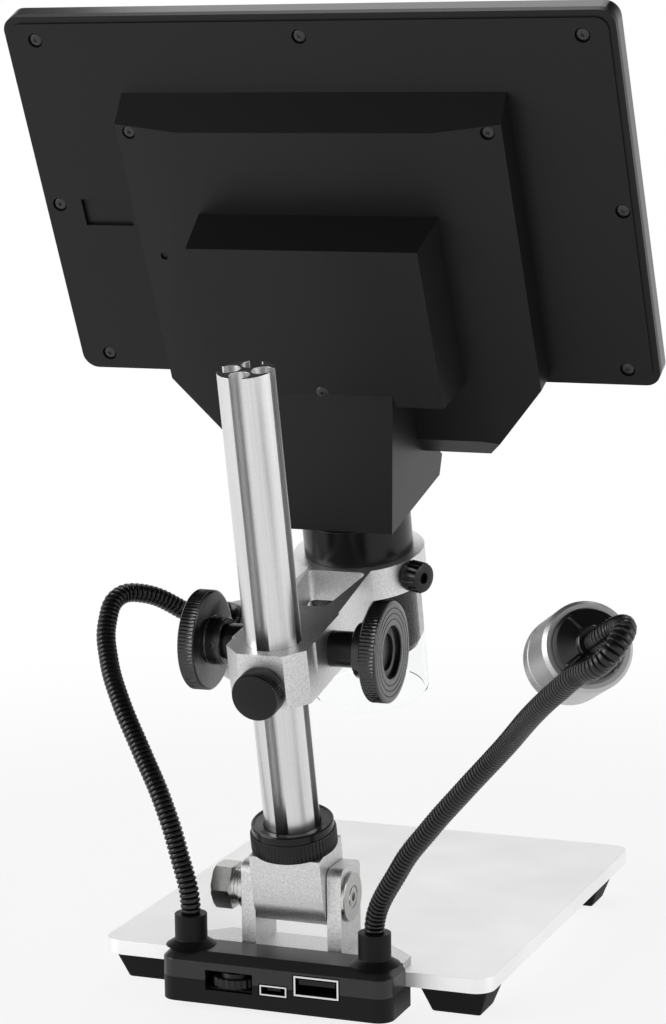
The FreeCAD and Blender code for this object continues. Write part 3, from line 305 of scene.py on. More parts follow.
def grained(name, colour, rough, grain, depth, gloss, tint=(1.0, 1.0, 1.03)):
    finish = Finish(name, Specular_IOR_Level=gloss)
    fine = finish.noise(grain, 2.0)
    broad = finish.noise(22.0, 2.0)
    finish.feed("Base Color", finish.blend(broad, grey(colour * 0.85, tint),
                                           grey(colour * 1.15, tint)))
    finish.feed("Roughness", rough + broad * 0.08 + fine * 0.06)
    finish.bump(fine, depth)
    return finish.material


FINISHES.update({
    "housing_plastic": grained("housing_moulded", colour=0.006, rough=0.34, grain=2400.0,
                               depth=0.00001, gloss=0.27),
    "button_plastic": grained("button_moulded", colour=0.006, rough=0.34, grain=2000.0,
                              depth=0.00001, gloss=0.32),
    "rubber_black": grained("foot_rubber", colour=0.005, rough=0.60, grain=1500.0,
                            depth=0.00004, gloss=0.15),
    "black_metal": grained("anodised_black", colour=0.003, rough=0.18, grain=4000.0,
                           depth=0.000002, gloss=0.3),
    "screw_steel": grained("screw_black", colour=0.008, rough=0.22, grain=3000.0,
                           depth=0.000002, gloss=0.6),
    "screen_glass": grained("screen_gloss", colour=0.004, rough=0.04, grain=800.0,
                            depth=0.0000005, gloss=0.5),
    "screen_dark": grained("screen_off", colour=0.006, rough=0.20, grain=800.0,
                           depth=0.000001, gloss=0.5),
    "cell_wrap": grained("cell_sleeve", colour=0.10, rough=0.25, grain=600.0,
                         depth=0.00001, gloss=0.5, tint=(0.6, 1.2, 2.4)),
})
print("dark finishes up to", len(FINISHES))

# %% [markdown]
# Clear plastic and glass let light through and bend it. The cup under the lens is thin and
# faintly milky, so it keeps some roughness. Boards have a mask over tracks that stand a little
# higher, and the diodes are pale yellow. A socket has painted shade: bright at its mouth, dark
# behind it. The board in the light box is black, so that nothing green shows through the slot.

# %% Clear and circuit finishes


def clear(name, colour, rough, index):
    finish = Finish(name, Transmission_Weight=1.0, IOR=index)
    haze = finish.noise(400.0, 2.0)
    finish.feed("Base Color", finish.blend(haze, (*[c * 0.97 for c in colour], 1), (*colour, 1)))
    finish.feed("Roughness", rough + haze * 0.03)
    return finish.material


def board(name, mask, track):
    finish = Finish(name, Specular_IOR_Level=0.5)
    cell = finish.node("ShaderNodeTexVoronoi", {"distance": "MANHATTAN"},
                       {"Vector": finish.place(), "Scale": 420.0})
    line = cell > 0.42
    finish.feed("Base Color", finish.blend(line, (*mask, 1), (*track, 1)))
    finish.feed("Roughness", 0.32 + line * 0.15)
    finish.bump(line, 0.00003)
    return finish.material


def diode(name):
    finish = Finish(name)
    spots = finish.noise(700.0, 1.0)
    finish.feed("Base Color", finish.blend(spots, (0.86, 0.86, 0.78, 1), (0.93, 0.92, 0.80, 1)))
    finish.feed("Roughness", 0.3 + spots * 0.2)
    finish.bump(spots, 0.00001)
    return finish.material


FINISHES.update({
    "cup_clear": clear("cup_milky", colour=(0.97, 0.98, 0.98), rough=0.03, index=1.12),
    "optical_glass": clear("lens_coated", colour=(0.86, 0.90, 0.95), rough=0.01, index=1.50),
    "circuit_board": board("board_green", mask=(0.02, 0.10, 0.05), track=(0.05, 0.20, 0.11)),
    "led_white": diode("diode_white"),
})


MOUTH_DEPTH = 0.3 * MM


def painted_socket_shade(name, mouth):
    """Tinned steel with painted shade: its colour goes nearly black behind the mouth of a socket.
    """
    finish = Finish(name, Metallic=1.0)
    inward = finish.node("ShaderNodeSeparateXYZ", None,
                         {"Vector": finish.place(centre=(0, mouth, 0))}, output="Y") * -1.0
    shade = inward > MOUTH_DEPTH
    marks = finish.noise(900.0, 2.0)
    # Painted shade: past the mouth the tin's colour drops to near black, where shade falls inside
    # the socket.
    finish.feed("Base Color", finish.blend(shade, grey(0.75), grey(0.03)))
    finish.feed("Roughness", 0.2 + shade * 0.3 + marks * 0.1)
    return finish.material


NODE_FINISHES = {
    "usb_a_socket": painted_socket_shade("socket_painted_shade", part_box("usb_a_socket")[1].y),
    "micro_usb_socket": painted_socket_shade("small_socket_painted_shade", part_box("micro_usb_socket")[1].y),
    "light_box_board": board("board_black", mask=(0.01, 0.01, 0.012),
                             track=(0.02, 0.02, 0.022)),
}
missing = [m["slot"] for m in frame["record"]["materials"] if m["slot"] not in FINISHES]
print("finishes", len(FINISHES), "slots without one", missing)

# %% [markdown]
# The record says which slot each CAD node is made of. Its mesh stays as it was packed, and its
# material slots take the slot's finish, or the node's own where it has one.

# %% Dress the frame
slot_of = {part["node"]: part["material_slot"] for part in frame["record"]["subparts"]}
for name, node in nodes.items():
    finish = NODE_FINISHES.get(name, FINISHES[slot_of[name]])
    for material_slot in node.material_slots:
        material_slot.material = finish
print("dressed", len(nodes), "nodes")

# %% [markdown]
# The floor is a pale sheet. What the camera and the mirrors see of it is mostly plain white,
# with enough of the matt surface left near the microscope to take its soft shadow. Further
# away it fades into white altogether. The camera sees a white world too, also through clear
# plastic. For all other light the world is bright at the horizon and dim overhead, as under a
# studio ceiling, and that is what shades the upward faces. The world has a tree of its own, so
# its few nodes are added one by one.

# %% Floor and world
FLOOR_SIZE = 8.0
FLOOR_WHITE = 0.84
SHADOW_NEAR, SHADOW_FAR = 0.15, 0.45
bpy.ops.object.select_all(action="DESELECT")
bpy.ops.mesh.primitive_plane_add(size=FLOOR_SIZE, location=(HOME.x, HOME.y, 0))
floor = bpy.context.object
floor.name = "floor"
bpy.ops.object.transform_apply(location=True)
bpy.ops.object.mode_set(mode="EDIT")
bpy.ops.mesh.subdivide(number_cuts=3)
bpy.ops.object.mode_set(mode="OBJECT")

sheet = Finish("floor_white", Roughness=0.9, Specular_IOR_Level=0.0)
spread = sheet.place(centre=(HOME.x, HOME.y, 0))
distance = sheet.node("ShaderNodeVectorMath", {"operation": "LENGTH"}, {0: spread}, output="Value")
far = sheet.node("ShaderNodeMapRange", {"interpolation_type": "SMOOTHSTEP"},
                 {"Value": distance, "From Min": SHADOW_NEAR, "From Max": SHADOW_FAR,
                  "To Min": FLOOR_WHITE})
seen = sheet.node("ShaderNodeLightPath", output="Is Camera Ray") + sheet.node(
    "ShaderNodeLightPath", output="Is Glossy Ray") + sheet.node(
    "ShaderNodeLightPath", output="Is Transmission Ray")
paper = sheet.noise(60.0, 3.0)
sheet.feed("Base Color", sheet.blend(paper, grey(0.88), grey(0.92)))
glow = sheet.node("ShaderNodeEmission", None, {"Color": (1, 1, 1, 1), "Strength": 1.0})
matt = Field(sheet, sheet.shader.outputs[0])
mixed = sheet.node("ShaderNodeMixShader", None, {0: seen * far, 1: matt, 2: glow})
sheet.tree.links.new(mixed.socket, sheet.tree.nodes["Material Output"].inputs["Surface"])
floor.data.materials.append(sheet.material)

HORIZON, ZENITH = 1.0, 0.08
HORIZON_TOP, ZENITH_BASE = 0.10, 0.75
world = bpy.data.worlds.new("studio")
bpy.context.scene.world = world
world.use_nodes = True
sky = world.node_tree
rays = sky.nodes.new("ShaderNodeLightPath")
white = sky.nodes.new("ShaderNodeBackground")
white.inputs["Color"].default_value = (1, 1, 1, 1)
white.inputs["Strength"].default_value = 1.0
soft = sky.nodes["Background"]
way = sky.nodes.new("ShaderNodeTexCoord")
parts = sky.nodes.new("ShaderNodeSeparateXYZ")
sky.links.new(way.outputs["Generated"], parts.inputs[0])
height = sky.nodes.new("ShaderNodeMapRange")
height.interpolation_type = "SMOOTHSTEP"
for socket, value in (("From Min", HORIZON_TOP), ("From Max", ZENITH_BASE),
                      ("To Min", HORIZON), ("To Max", ZENITH)):
    height.inputs[socket].default_value = value
sky.links.new(parts.outputs["Z"], height.inputs["Value"])
sky.links.new(height.outputs[0], soft.inputs["Strength"])
soft.inputs["Color"].default_value = (1.0, 1.0, 1.0, 1)
either = sky.nodes.new("ShaderNodeMath")
either.operation = "ADD"
either.use_clamp = True
sky.links.new(rays.outputs["Is Camera Ray"], either.inputs[0])
sky.links.new(rays.outputs["Is Transmission Ray"], either.inputs[1])
choose = sky.nodes.new("ShaderNodeMixShader")
sky.links.new(either.outputs[0], choose.inputs[0])
sky.links.new(soft.outputs[0], choose.inputs[1])
sky.links.new(white.outputs[0], choose.inputs[2])
sky.links.new(choose.outputs[0], sky.nodes["World Output"].inputs["Surface"])
print("floor", [round(v, 2) for v in floor.dimensions], "horizon", HORIZON, "zenith", ZENITH)

# %% [markdown]
# Two large soft boxes stand where a studio would put them: one on the camera's left, one lower
# on its right and weaker. A third lights the front of the display, which the camera doesn't
# see. Big lamps close by give the long soft highlights that satin metal needs.

# %% Lamps
LAMP_AIM = Vector((0, 0.02, 0.12))


def soft_box(name, place, size, power):
    bpy.ops.object.light_add(type="AREA", location=HOME + Vector(place))
    lamp = bpy.context.object
    lamp.name = name
    lamp.data.shape = "RECTANGLE"
    lamp.data.size, lamp.data.size_y = size
    lamp.data.energy = power
    aim = HOME + LAMP_AIM - lamp.location
    lamp.rotation_euler = aim.to_track_quat("-Z", "Y").to_euler()
    return lamp


key = soft_box("key_box", place=(1.05, 0.75, 0.50), size=(0.8, 0.9), power=9.0)
fill = soft_box("fill_box", place=(-1.2, -0.1, 0.35), size=(0.7, 0.8), power=3.0)
front = soft_box("front_box", place=(0.3, -1.0, 1.3), size=(0.9, 0.9), power=5.0)
print("lamps", [lamp.name for lamp in (key, fill, front)])

# %% [markdown]
# Small tools for modelling by operators. Everything is deselected before a primitive is added,
# because an operator acts on all that is selected. Faces and corners are then picked by where
# they are, as one would click on them. A finished piece is carried to its frame and its place
# is applied, so that its object sits at the origin like a CAD node's.

# %% Modelling tools
SHARP_ABOVE, SMOOTH_BELOW = math.radians(30), math.radians(32)


def fresh():
    """Object mode, with nothing selected."""
    if bpy.context.mode != "OBJECT":
        bpy.ops.object.mode_set(mode="OBJECT")
    bpy.ops.object.select_all(action="DESELECT")


def hold(piece, mode="OBJECT"):
    """This piece alone selected and active, in object or edit mode."""
    fresh()
    bpy.context.view_layer.objects.active = piece
    piece.select_set(True)
    bpy.ops.object.mode_set(mode=mode)


def outward():
    """Turn every face outwards and leave edit mode."""
    bpy.ops.mesh.select_all(action="SELECT")
    bpy.ops.mesh.normals_make_consistent(inside=False)
    bpy.ops.object.mode_set(mode="OBJECT")


def start(name):
    """Name the primitive just added, apply its place and enter edit mode."""
    piece = bpy.context.object
    piece.name = piece.data.name = name
    bpy.ops.object.transform_apply(location=True, rotation=True, scale=True)
    bpy.ops.object.mode_set(mode="EDIT")
    return piece


def pick(piece, kind, test):
    """Select the faces, edges or vertices that pass a test. Returns how many."""
    bpy.ops.mesh.select_mode(type={"faces": "FACE", "edges": "EDGE", "verts": "VERT"}[kind])
    bpy.ops.mesh.select_all(action="DESELECT")
    mesh = bmesh.from_edit_mesh(piece.data)
    chosen = [item for item in getattr(mesh, kind) if test(item)]
    for item in chosen:
        item.select_set(True)
    mesh.select_flush_mode()
    bmesh.update_edit_mesh(piece.data)
    return len(chosen)


def apply_modifier(piece, kind, **settings):
    hold(piece)
    bpy.ops.object.modifier_add(type=kind)
    modifier = piece.modifiers[-1]
    for key, value in settings.items():
        setattr(modifier, key, value)
    bpy.ops.object.modifier_apply(modifier=modifier.name)


def rounded(piece, width):
    """Break the sharp edges, as a file or a mould does."""
    apply_modifier(piece, "BEVEL", width=width * MM, segments=2, limit_method="ANGLE",
                   angle_limit=SHARP_ABOVE, harden_normals=False, miter_outer="MITER_ARC")


def settle(piece, matrix, body, slot, finish=None, replaces=()):
    """Carry a finished piece to its frame, smooth it, dress it and let it ride."""
    hold(piece)
    piece.matrix_world = matrix
    bpy.ops.object.transform_apply(location=True, rotation=True, scale=True)
    bpy.ops.object.shade_smooth_by_angle(angle=SMOOTH_BELOW)
    piece.data.materials.clear()
    piece.data.materials.append(finish or FINISHES[slot])
    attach(piece, body)
    if replaces:
        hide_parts(*replaces)
    print(piece.name, "faces", len(piece.data.polygons))
    return piece


def copy_of(piece, name):
    """Another object with its own mesh."""
    twin = piece.copy()
    twin.data = piece.data.copy()
    twin.name = twin.data.name = name
    bpy.context.scene.collection.objects.link(twin)
    return twin


print("tools ready")

# %% [markdown]
# A turned part is drawn out on the lathe from point to point. Here one circle is extruded and
# resized along the outline, which is what a spin would give, but the ring of vertices stays
# easy to find afterwards. A filled circle makes a solid with capped ends. A bare circle makes a
# tube with open ends, or a ring where its last circle is bridged to its first.

# %% Turning


def turned(name, outline, steps=64, ends="capped"):
    """Outline is (radius, height) in millimetres. Ends are capped, open or bridged."""
    fresh()
    radius, height = outline[0]
    bpy.ops.mesh.primitive_circle_add(vertices=steps, radius=radius * MM,
                                      location=(0, 0, height * MM),
                                      fill_type="NGON" if ends == "capped" else "NOTHING")
    piece = start(name)
    bpy.ops.mesh.select_mode(type="VERT")
    bpy.ops.mesh.select_all(action="SELECT")
    for (r0, z0), (r1, z1) in zip(outline, outline[1:]):
        bpy.ops.mesh.extrude_region_move(
            TRANSFORM_OT_translate={"value": (0, 0, (z1 - z0) * MM)})
        bpy.ops.transform.resize(value=(r1 / r0, r1 / r0, 1), center_override=(0, 0, z1 * MM))
    if ends == "bridged":
        bpy.ops.mesh.select_mode(type="EDGE")
        bpy.ops.mesh.select_all(action="DESELECT")
        bpy.ops.mesh.select_non_manifold()
        bpy.ops.mesh.bridge_edge_loops()
    outward()
    return piece


RIM_TOLERANCE = 0.03 * MM


def knurl(piece, steps, low, high, radius, depth):
    """Press every second line of vertices on the rim inwards. Returns how many moved."""
    hold(piece, "EDIT")

    def on_groove(vertex):
        if not low * MM < vertex.co.z < high * MM:
            return False
        if abs(vertex.co.xy.length - radius * MM) > RIM_TOLERANCE:
            return False
        turn = math.atan2(vertex.co.y, vertex.co.x) / math.tau * steps
        return round(turn) % 2 == 1

    count = pick(piece, "verts", on_groove)
    share = 1 - depth / radius
    bpy.ops.transform.resize(value=(share, share, 1), center_override=(0, 0, 0))
    bpy.ops.object.mode_set(mode="OBJECT")
    return count


print("turning ready")

# %% [markdown]
# The sheet and cast parts are machined blocks. The CAD solid has their exact faces but knife
# edges, and it is the broken edge that catches the light. So each one is copied, its loose
# triangles are merged back into whole faces, its edges are beveled, and it replaces the node.

# %% Broken edges
MERGE_WITHIN = 0.002 * MM
FLAT_WITHIN = math.radians(0.6)


def broken_edges(node, width):
    """A copy of a CAD node with its sharp edges beveled."""
    piece = bpy.data.objects.new(node + "_edged", nodes[node].data.copy())
    piece.data.name = piece.name
    bpy.context.scene.collection.objects.link(piece)
    hold(piece)
    bpy.ops.mesh.customdata_custom_splitnormals_clear()
    bpy.ops.object.mode_set(mode="EDIT")
    bpy.ops.mesh.select_all(action="SELECT")
    bpy.ops.mesh.remove_doubles(threshold=MERGE_WITHIN)
    bpy.ops.mesh.dissolve_limited(angle_limit=FLAT_WITHIN)
    outward()
    rounded(piece, width)
    settle(piece, Matrix.Identity(4), nodes[node]["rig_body"], slot_of[node],
           EDGE_FINISHES.get(node), replaces=(node,))
    apply_modifier(piece, "WEIGHTED_NORMAL", keep_sharp=True, weight=100)
    return piece


BOX_MOULDED = grained("box_moulded", colour=0.004, rough=0.36, grain=2600.0, depth=0.00001,
                      gloss=0.18)
EDGE_FINISHES = {
    "light_box_top": grained("box_satin", colour=0.008, rough=0.26, grain=2600.0,
                             depth=0.00001, gloss=0.5),
    "front_frame": grained("frame_gloss", colour=0.006, rough=0.12, grain=2600.0,
                           depth=0.000002, gloss=0.5),
    "light_box_bottom": BOX_MOULDED,
    "neck_ferrules": BOX_MOULDED,
}
EDGES = {"base_plate": 0.35, "hinge_bracket": 0.3, "pivot_block": 0.35, "carriage_arm": 0.35,
         "light_box_top": 0.35, "light_box_bottom": 0.3, "middle_housing": 0.35,
         "inner_housing": 0.5, "rear_cover": 0.25, "front_frame": 0.4, "feet": 0.8,
         "column": 0.12, "neck_ferrules": 0.25, "lens_neck": 0.25, "dimmer_wheel": 0.15}
for node, width in EDGES.items():
    broken_edges(node, width)

# %% [markdown]
# A gooseneck is one steel strip wound into a tube, so it shows a rib every 1.4 mm. One rib is
# turned, an Array lays enough of them end to end for the whole length, and a Curve modifier
# bends the row along the neck's line. The curve follows the points of the CAD solid, leaves
# its ferrule upright and arrives at the lamp along the lamp's axis.

# %% Goosenecks
NECKS = {
    "left": dict(side=1, lamp=(48.3, 15.0, 94.6), aim=(-0.61, -0.59, -0.54), points=[
        (32.2, 73.0, 42.1), (38.6, 69.0, 54.9), (47.6, 63.0, 67.2), (56.6, 57.0, 79.7),
        (63.2, 50.0, 89.4), (67.2, 42.0, 99.0), (66.6, 35.5, 105.0), (61.8, 29.4, 105.2)]),
    "right": dict(side=-1, lamp=(-107.06, 135.65, 123.2), aim=(0.484, -0.8, -0.355), points=[
        (-36.8, 81.5, 45.5), (-47.8, 88.5, 59.2), (-60.8, 97.5, 73.3), (-74.0, 108.0, 87.0),
        (-93.0, 134.0, 106.1), (-100.2, 141.6, 112.5), (-106.3, 147.9, 117.7),
        (-115.4, 155.5, 123.7), (-118.1, 154.4, 127.5), (-118.6, 150.5, 130.0),
        (-116.0, 145.8, 129.5)]),
}
FERRULE = (27.3, 76.0, 25.4)
FERRULE_STRAIGHT, LAMP_STRAIGHT, LAMP_OVERLAP = 7.5, 5.7, 0.6
RIB_PITCH = 1.42
RIB_ROOT, RIB_SHOULDER, RIB_CREST = 2.30, 2.74, 2.86


def neck_line(name, points):
    """A smooth curve through points given in millimetres on the drawing."""
    fresh()
    bpy.ops.curve.primitive_bezier_curve_add(location=(0, 0, 0))
    line = bpy.context.object
    line.name = name
    bpy.ops.object.mode_set(mode="EDIT")
    bpy.ops.curve.select_all(action="SELECT")
    bpy.ops.curve.delete(type="VERT")
    bpy.ops.object.mode_set(mode="OBJECT")
    spline = line.data.splines.new("BEZIER")
    spline.bezier_points.add(len(points) - 1)
    for knot, point in zip(spline.bezier_points, points):
        knot.co = HOME + Vector(point) * MM
        knot.handle_left_type = knot.handle_right_type = "AUTO"
    spline.resolution_u = 24
    return line


def gooseneck(name, side, lamp, aim, points):
    aim = Vector(aim).normalized()
    root = Vector((side * FERRULE[0], FERRULE[1], FERRULE[2]))
    last = Vector(lamp)
    route = [root] + [Vector(point) for point in points] + [
        last - aim * LAMP_STRAIGHT, last + aim * LAMP_OVERLAP]
    line = neck_line(name + "_neck_line", route)
    foot = line.data.splines[0].bezier_points[0]
    foot.handle_right_type = "FREE"
    foot.handle_right = foot.co + Vector((0, 0, FERRULE_STRAIGHT)) * MM
    length = line.data.splines[0].calc_length()
    count = round(length / MM / RIB_PITCH)
    pitch = length / MM / count
    rib = turned(name + "_ribbed_neck", [
        (RIB_ROOT, 0), (RIB_SHOULDER, pitch * 0.2), (RIB_CREST, pitch * 0.5),
        (RIB_SHOULDER, pitch * 0.8), (RIB_ROOT, pitch)], steps=16, ends="open")
    apply_modifier(rib, "ARRAY", count=count, use_relative_offset=False,
                   use_constant_offset=True, constant_offset_displace=(0, 0, pitch * MM),
                   use_merge_vertices=True, merge_threshold=0.00002)
    apply_modifier(rib, "CURVE", object=line, deform_axis="POS_Z")
    hold(rib, "EDIT")
    pick(rib, "edges", lambda edge: edge.is_boundary)
    bpy.ops.mesh.edge_face_add()
    outward()
    settle(rib, Matrix.Identity(4), name + "_lamp", "black_metal", NECK_FINISH,
           (name + "_gooseneck",))
    bpy.data.objects.remove(line)
    print(name, "neck length", round(length / MM, 1), "ribs", count)
    return rib


NECK_FINISH = grained("neck_gloss", colour=0.003, rough=0.22, grain=1500.0, depth=0.000003,
                      gloss=0.42)
for name, facts in NECKS.items():
    gooseneck(name, **facts)

# %% [markdown]
# The collar at the foot of the column has a fine straight knurl below a smooth rim. It is
# turned as one ring, and then every second line of vertices on the knurled band is pressed in.

# %% Collar
COLLAR_LINES = 72
COLLAR_RADIUS = 12.05
collar = turned("collar_knurled", [
    (10.6, 14.35), (11.7, 14.35), (COLLAR_RADIUS, 14.7), (COLLAR_RADIUS, 19.5), (11.75, 19.8),
    (11.5, 19.85), (11.5, 21.9), (11.2, 22.25), (10.75, 22.25), (10.5, 21.9), (8.15, 21.6),
    (7.95, 21.4), (7.95, 18.5), (10.6, 18.4)], steps=2 * COLLAR_LINES, ends="bridged")
print("groove corners", knurl(collar, 2 * COLLAR_LINES, low=14.5, high=19.6,
                              radius=COLLAR_RADIUS, depth=0.32))
settle(collar, COLUMN, "collar", "black_metal", replaces=("column_collar",))

# %% [markdown]
# The focus knobs are turned from bar: a knurled rim with chamfered shoulders, a flat outer face
# with three turned grooves and finer rings between them, and a recess round the shaft's end.
# The inner face is plain and carries a round boss. Both knobs follow one outline, and only the
# boss differs.

# %% Focus knobs
KNOB_LINES = 88
KNOB_RADIUS = 13.95
FACE_GROOVES = (12.1, 10.6, 9.1)
BANDS_PER_SCALE = 3.0


def turned_rings(name, centre, turn, colour, rough, pitch, depth):
    """Fine rings about an axis: a wave on the distance from it."""
    finish = Finish(name, Specular_IOR_Level=0.7)
    there = finish.place(centre=centre, turn=turn)
    rings = finish.node("ShaderNodeTexWave", {"wave_type": "RINGS", "rings_direction": "Z"},
                        {"Vector": there, "Scale": 1.0 / (pitch * MM) / BANDS_PER_SCALE})
    fine = finish.noise(2500.0, 2.0)
    finish.feed("Base Color", finish.blend(fine, grey(colour * 0.85), grey(colour * 1.2)))
    finish.feed("Roughness", rough + fine * 0.05)
    finish.bump(rings, depth)
    return finish.material


SHAFT_Y, SHAFT_Z = -12.85, 69.2
KNOB_OFFSET = 24
RING_FACE = turned_rings("knob_turned", centre=COLUMN @ Vector((0, SHAFT_Y * MM, SHAFT_Z * MM)),
                         turn=(math.radians(COLUMN_LEAN), math.radians(90), 0), colour=0.004,
                         rough=0.16, pitch=0.34, depth=0.00002)


def focus_knob(name, side, boss_radius):
    """Z points outwards; the outline runs from the bore round the back to the face."""
    outline = [
        (5.05, -4.5), (boss_radius - 0.3, -4.5), (boss_radius, -4.2), (boss_radius, -0.3),
        (boss_radius + 0.25, 0.0), (13.1, 0.0), (13.65, 0.15), (KNOB_RADIUS, 0.45),
        (KNOB_RADIUS, 0.75), (KNOB_RADIUS, 4.25), (KNOB_RADIUS, 4.55), (13.7, 4.85),
        (13.35, 5.0)]
    for groove in FACE_GROOVES:
        outline += [(groove + 0.2, 5.0), (groove, 4.8), (groove - 0.2, 5.0)]
    outline += [(7.5, 5.0), (7.25, 4.75), (7.15, 3.6), (5.4, 3.5), (5.05, 3.3)]
    knob = turned(name, outline, steps=2 * KNOB_LINES, ends="bridged")
    count = knurl(knob, 2 * KNOB_LINES, low=0.5, high=4.5, radius=KNOB_RADIUS, depth=0.3)
    place = COLUMN @ at(side * KNOB_OFFSET, SHAFT_Y, SHAFT_Z) @ facing((side, 0, 0))
    settle(knob, place, "focus_drive", "black_metal", RING_FACE,
           ("focus_knob_" + ("left" if side > 0 else "right"),))
    print(name, "groove corners", count)


focus_knob("focus_wheel_right", side=-1, boss_radius=7.65)
focus_knob("focus_wheel_left", side=1, boss_radius=6.7)

# %% [markdown]
# The two clamp knobs are small thumb screws. The one on the rear of the carriage has a finely
# knurled rim and a flat black face. The one on the ring is coarser, with a round socket in its
# end. Each keeps the stem that reaches into the carriage.

# %% Clamp knobs


def thumb_knob(name, radius, length, lines, depth, socket, stem, reach, place, body, node):
    """Turned from the stem's end, round the head, to the middle of its face."""
    outline = [(stem, -reach), (stem, -0.05), (radius - 0.45, 0.0), (radius, 0.45),
               (radius, length - 0.75), (radius - 0.35, length - 0.15), (radius - 0.7, length)]
    if socket:
        outline += [(socket + 0.25, length), (socket, length - 0.25), (socket, length - 1.5)]
    knob = turned(name, outline, steps=2 * lines)
    count = knurl(knob, 2 * lines, low=0.3, high=length - 0.5, radius=radius, depth=depth)
    settle(knob, place, body, "black_metal", replaces=(node,))
    print(name, "groove corners", count)


thumb_knob("clamp_knob_rear", radius=6.8, length=6.0, lines=56, depth=0.22, socket=0, stem=1.6,
           reach=2.7, place=COLUMN @ at(0, 10.65, 66.5) @ facing((0, 1, 0)),
           body="rear_clamp", node="rear_clamp_knob")
RING_OUTER, RING_HEIGHT = 19.15, 72.1
SCREW_TURN = math.radians(180 - 22)
ring_direction = Vector((math.cos(SCREW_TURN), math.sin(SCREW_TURN), 0))
ring_place = LENS @ at(ring_direction.x * RING_OUTER, ring_direction.y * RING_OUTER,
                       RING_HEIGHT) @ facing(ring_direction)
thumb_knob("clamp_knob_ring", radius=4.5, length=5.5, lines=20, depth=0.45, socket=1.45,
           stem=1.5, reach=4.6, place=ring_place, body="ring_clamp", node="ring_clamp_knob")

# %% [markdown]
# The covers are held by small black cross-head screws. A pan head is turned, and a cross-shaped
# cutter with sloping arms sinks the recess. It is modelled once and copied to every place, each
# copy turned its own way, as no two screws stop at the same angle. The CAD has seven screws in
# the cover and two in the housing. One more holds the inner housing, low in its middle.

# %% Screws


def cross_cutter(name, reach, width, depth):
    """Two crossed wedges, narrower at the bottom."""
    fresh()
    bpy.ops.mesh.primitive_cube_add(size=1, location=(0, 0, 0.4 * MM),
                                    scale=(2 * reach * MM, width * MM, 2 * depth * MM))
    cutter = start(name)
    pick(cutter, "faces", lambda face: face.normal.z < -0.9)
    bpy.ops.transform.resize(value=(0.45, 0.6, 1), center_override=(0, 0, 0))
    bpy.ops.mesh.select_all(action="SELECT")
    bpy.ops.mesh.duplicate()
    bpy.ops.transform.rotate(value=math.radians(90), orient_axis="Z", center_override=(0, 0, 0))
    bpy.ops.object.mode_set(mode="OBJECT")
    return cutter


def cross_head(name, radius, height):
    head = turned(name, [(radius - 0.15, -height), (radius, -height + 0.12), (radius, -0.42),
                         (radius * 0.9, -0.2), (radius * 0.72, -0.06), (radius * 0.5, 0.0)],
                  steps=40)
    cutter = cross_cutter(name + "_cutter", radius * 0.58, radius * 0.24, 0.75)
    apply_modifier(head, "BOOLEAN", object=cutter, operation="DIFFERENCE", solver="EXACT",
                   use_self=True)
    bpy.data.objects.remove(cutter)
    return head


FOLD_X, FOLD_Y = 37.0, 10.4
WING_X, WING_Y = 56.5, 8.2


def wing_height(x):
    """Rear face of the middle housing beside its fold."""
    return FOLD_Y + (WING_Y - FOLD_Y) * max(0.0, abs(x) - FOLD_X) / (WING_X - FOLD_X)


COVER_SCREWS = [(79.5, 50.2), (-79.5, 50.2), (0.0, 50.6), (84.2, -1.9), (-84.2, -1.9),
                (79.6, -52.0), (-79.6, -52.0)]
HOUSING_SCREWS = [(52.5, 26.0), (-52.5, 26.0)]
COVER_SINK, HOUSING_SINK = 0.25, 0.35
INNER_REAR, INNER_PROUD = 26.1, 0.25
INNER_SCREW = (1.4, INNER_REAR + INNER_PROUD, -46.4)
SPIN_FIRST, SPIN_STEP = 0.5, 1.7
pattern = cross_head("screw_pattern", radius=1.95, height=1.0)
for kind, node, places in (("cover", "cover_screws", COVER_SCREWS),
                           ("housing", "housing_screws", HOUSING_SCREWS)):
    for number, (x, z) in enumerate(places):
        y = -COVER_SINK if kind == "cover" else wing_height(x) - HOUSING_SINK
        screw = copy_of(pattern, f"{kind}_screw_{number}")
        spin = Matrix.Rotation(SPIN_FIRST + SPIN_STEP * number, 4, "Z")
        settle(screw, DISPLAY @ at(x, y, z) @ facing((0, 1, 0)) @ spin, "head", "screw_steel",
               replaces=(node,))
settle(copy_of(pattern, "inner_screw"), DISPLAY @ at(*INNER_SCREW) @ facing((0, 1, 0)),
       "head", "screw_steel")
bpy.data.objects.remove(pattern)
print("screws", len(COVER_SCREWS) + len(HOUSING_SCREWS) + 1)

# %% [markdown]
# A lamp head is two shells. The rear one is glossy black plastic: a shallow cone from the
# neck's boss out to a plain rim, with four raised ribs on it. The front one is a satin grey
# tube with a fine groove and a mouth that holds the lens. Both are turned. A rib is a block
# with sloping sides, turned round the axis in steps of a quarter.

# %% Lamp heads
LAMP_RADIUS = 11.3
SHELL_SEAM = 6.4
SHELL_RADIUS = 9.3
LAMP_MOUTH = 29.0
LAMP_RIB_TURN = 37


def lamp_rib(turn):
    """A thin block that lies on the cone of the rear shell."""
    middle = 6.1
    fresh()
    bpy.ops.mesh.primitive_cube_add(size=1, location=(middle * MM, 0, 2.5 * MM),
                                    scale=(5.2 * MM, 1.3 * MM, 2.2 * MM))
    rib = start("rib")
    pick(rib, "faces", lambda face: face.normal.z < -0.9)
    bpy.ops.transform.resize(value=(0.86, 0.6, 1), center_override=(middle * MM, 0, 1.4 * MM))
    bpy.ops.mesh.select_all(action="SELECT")
    bpy.ops.transform.rotate(value=turn, orient_axis="Z", center_override=(0, 0, 0))
    bpy.ops.object.mode_set(mode="OBJECT")
    return rib


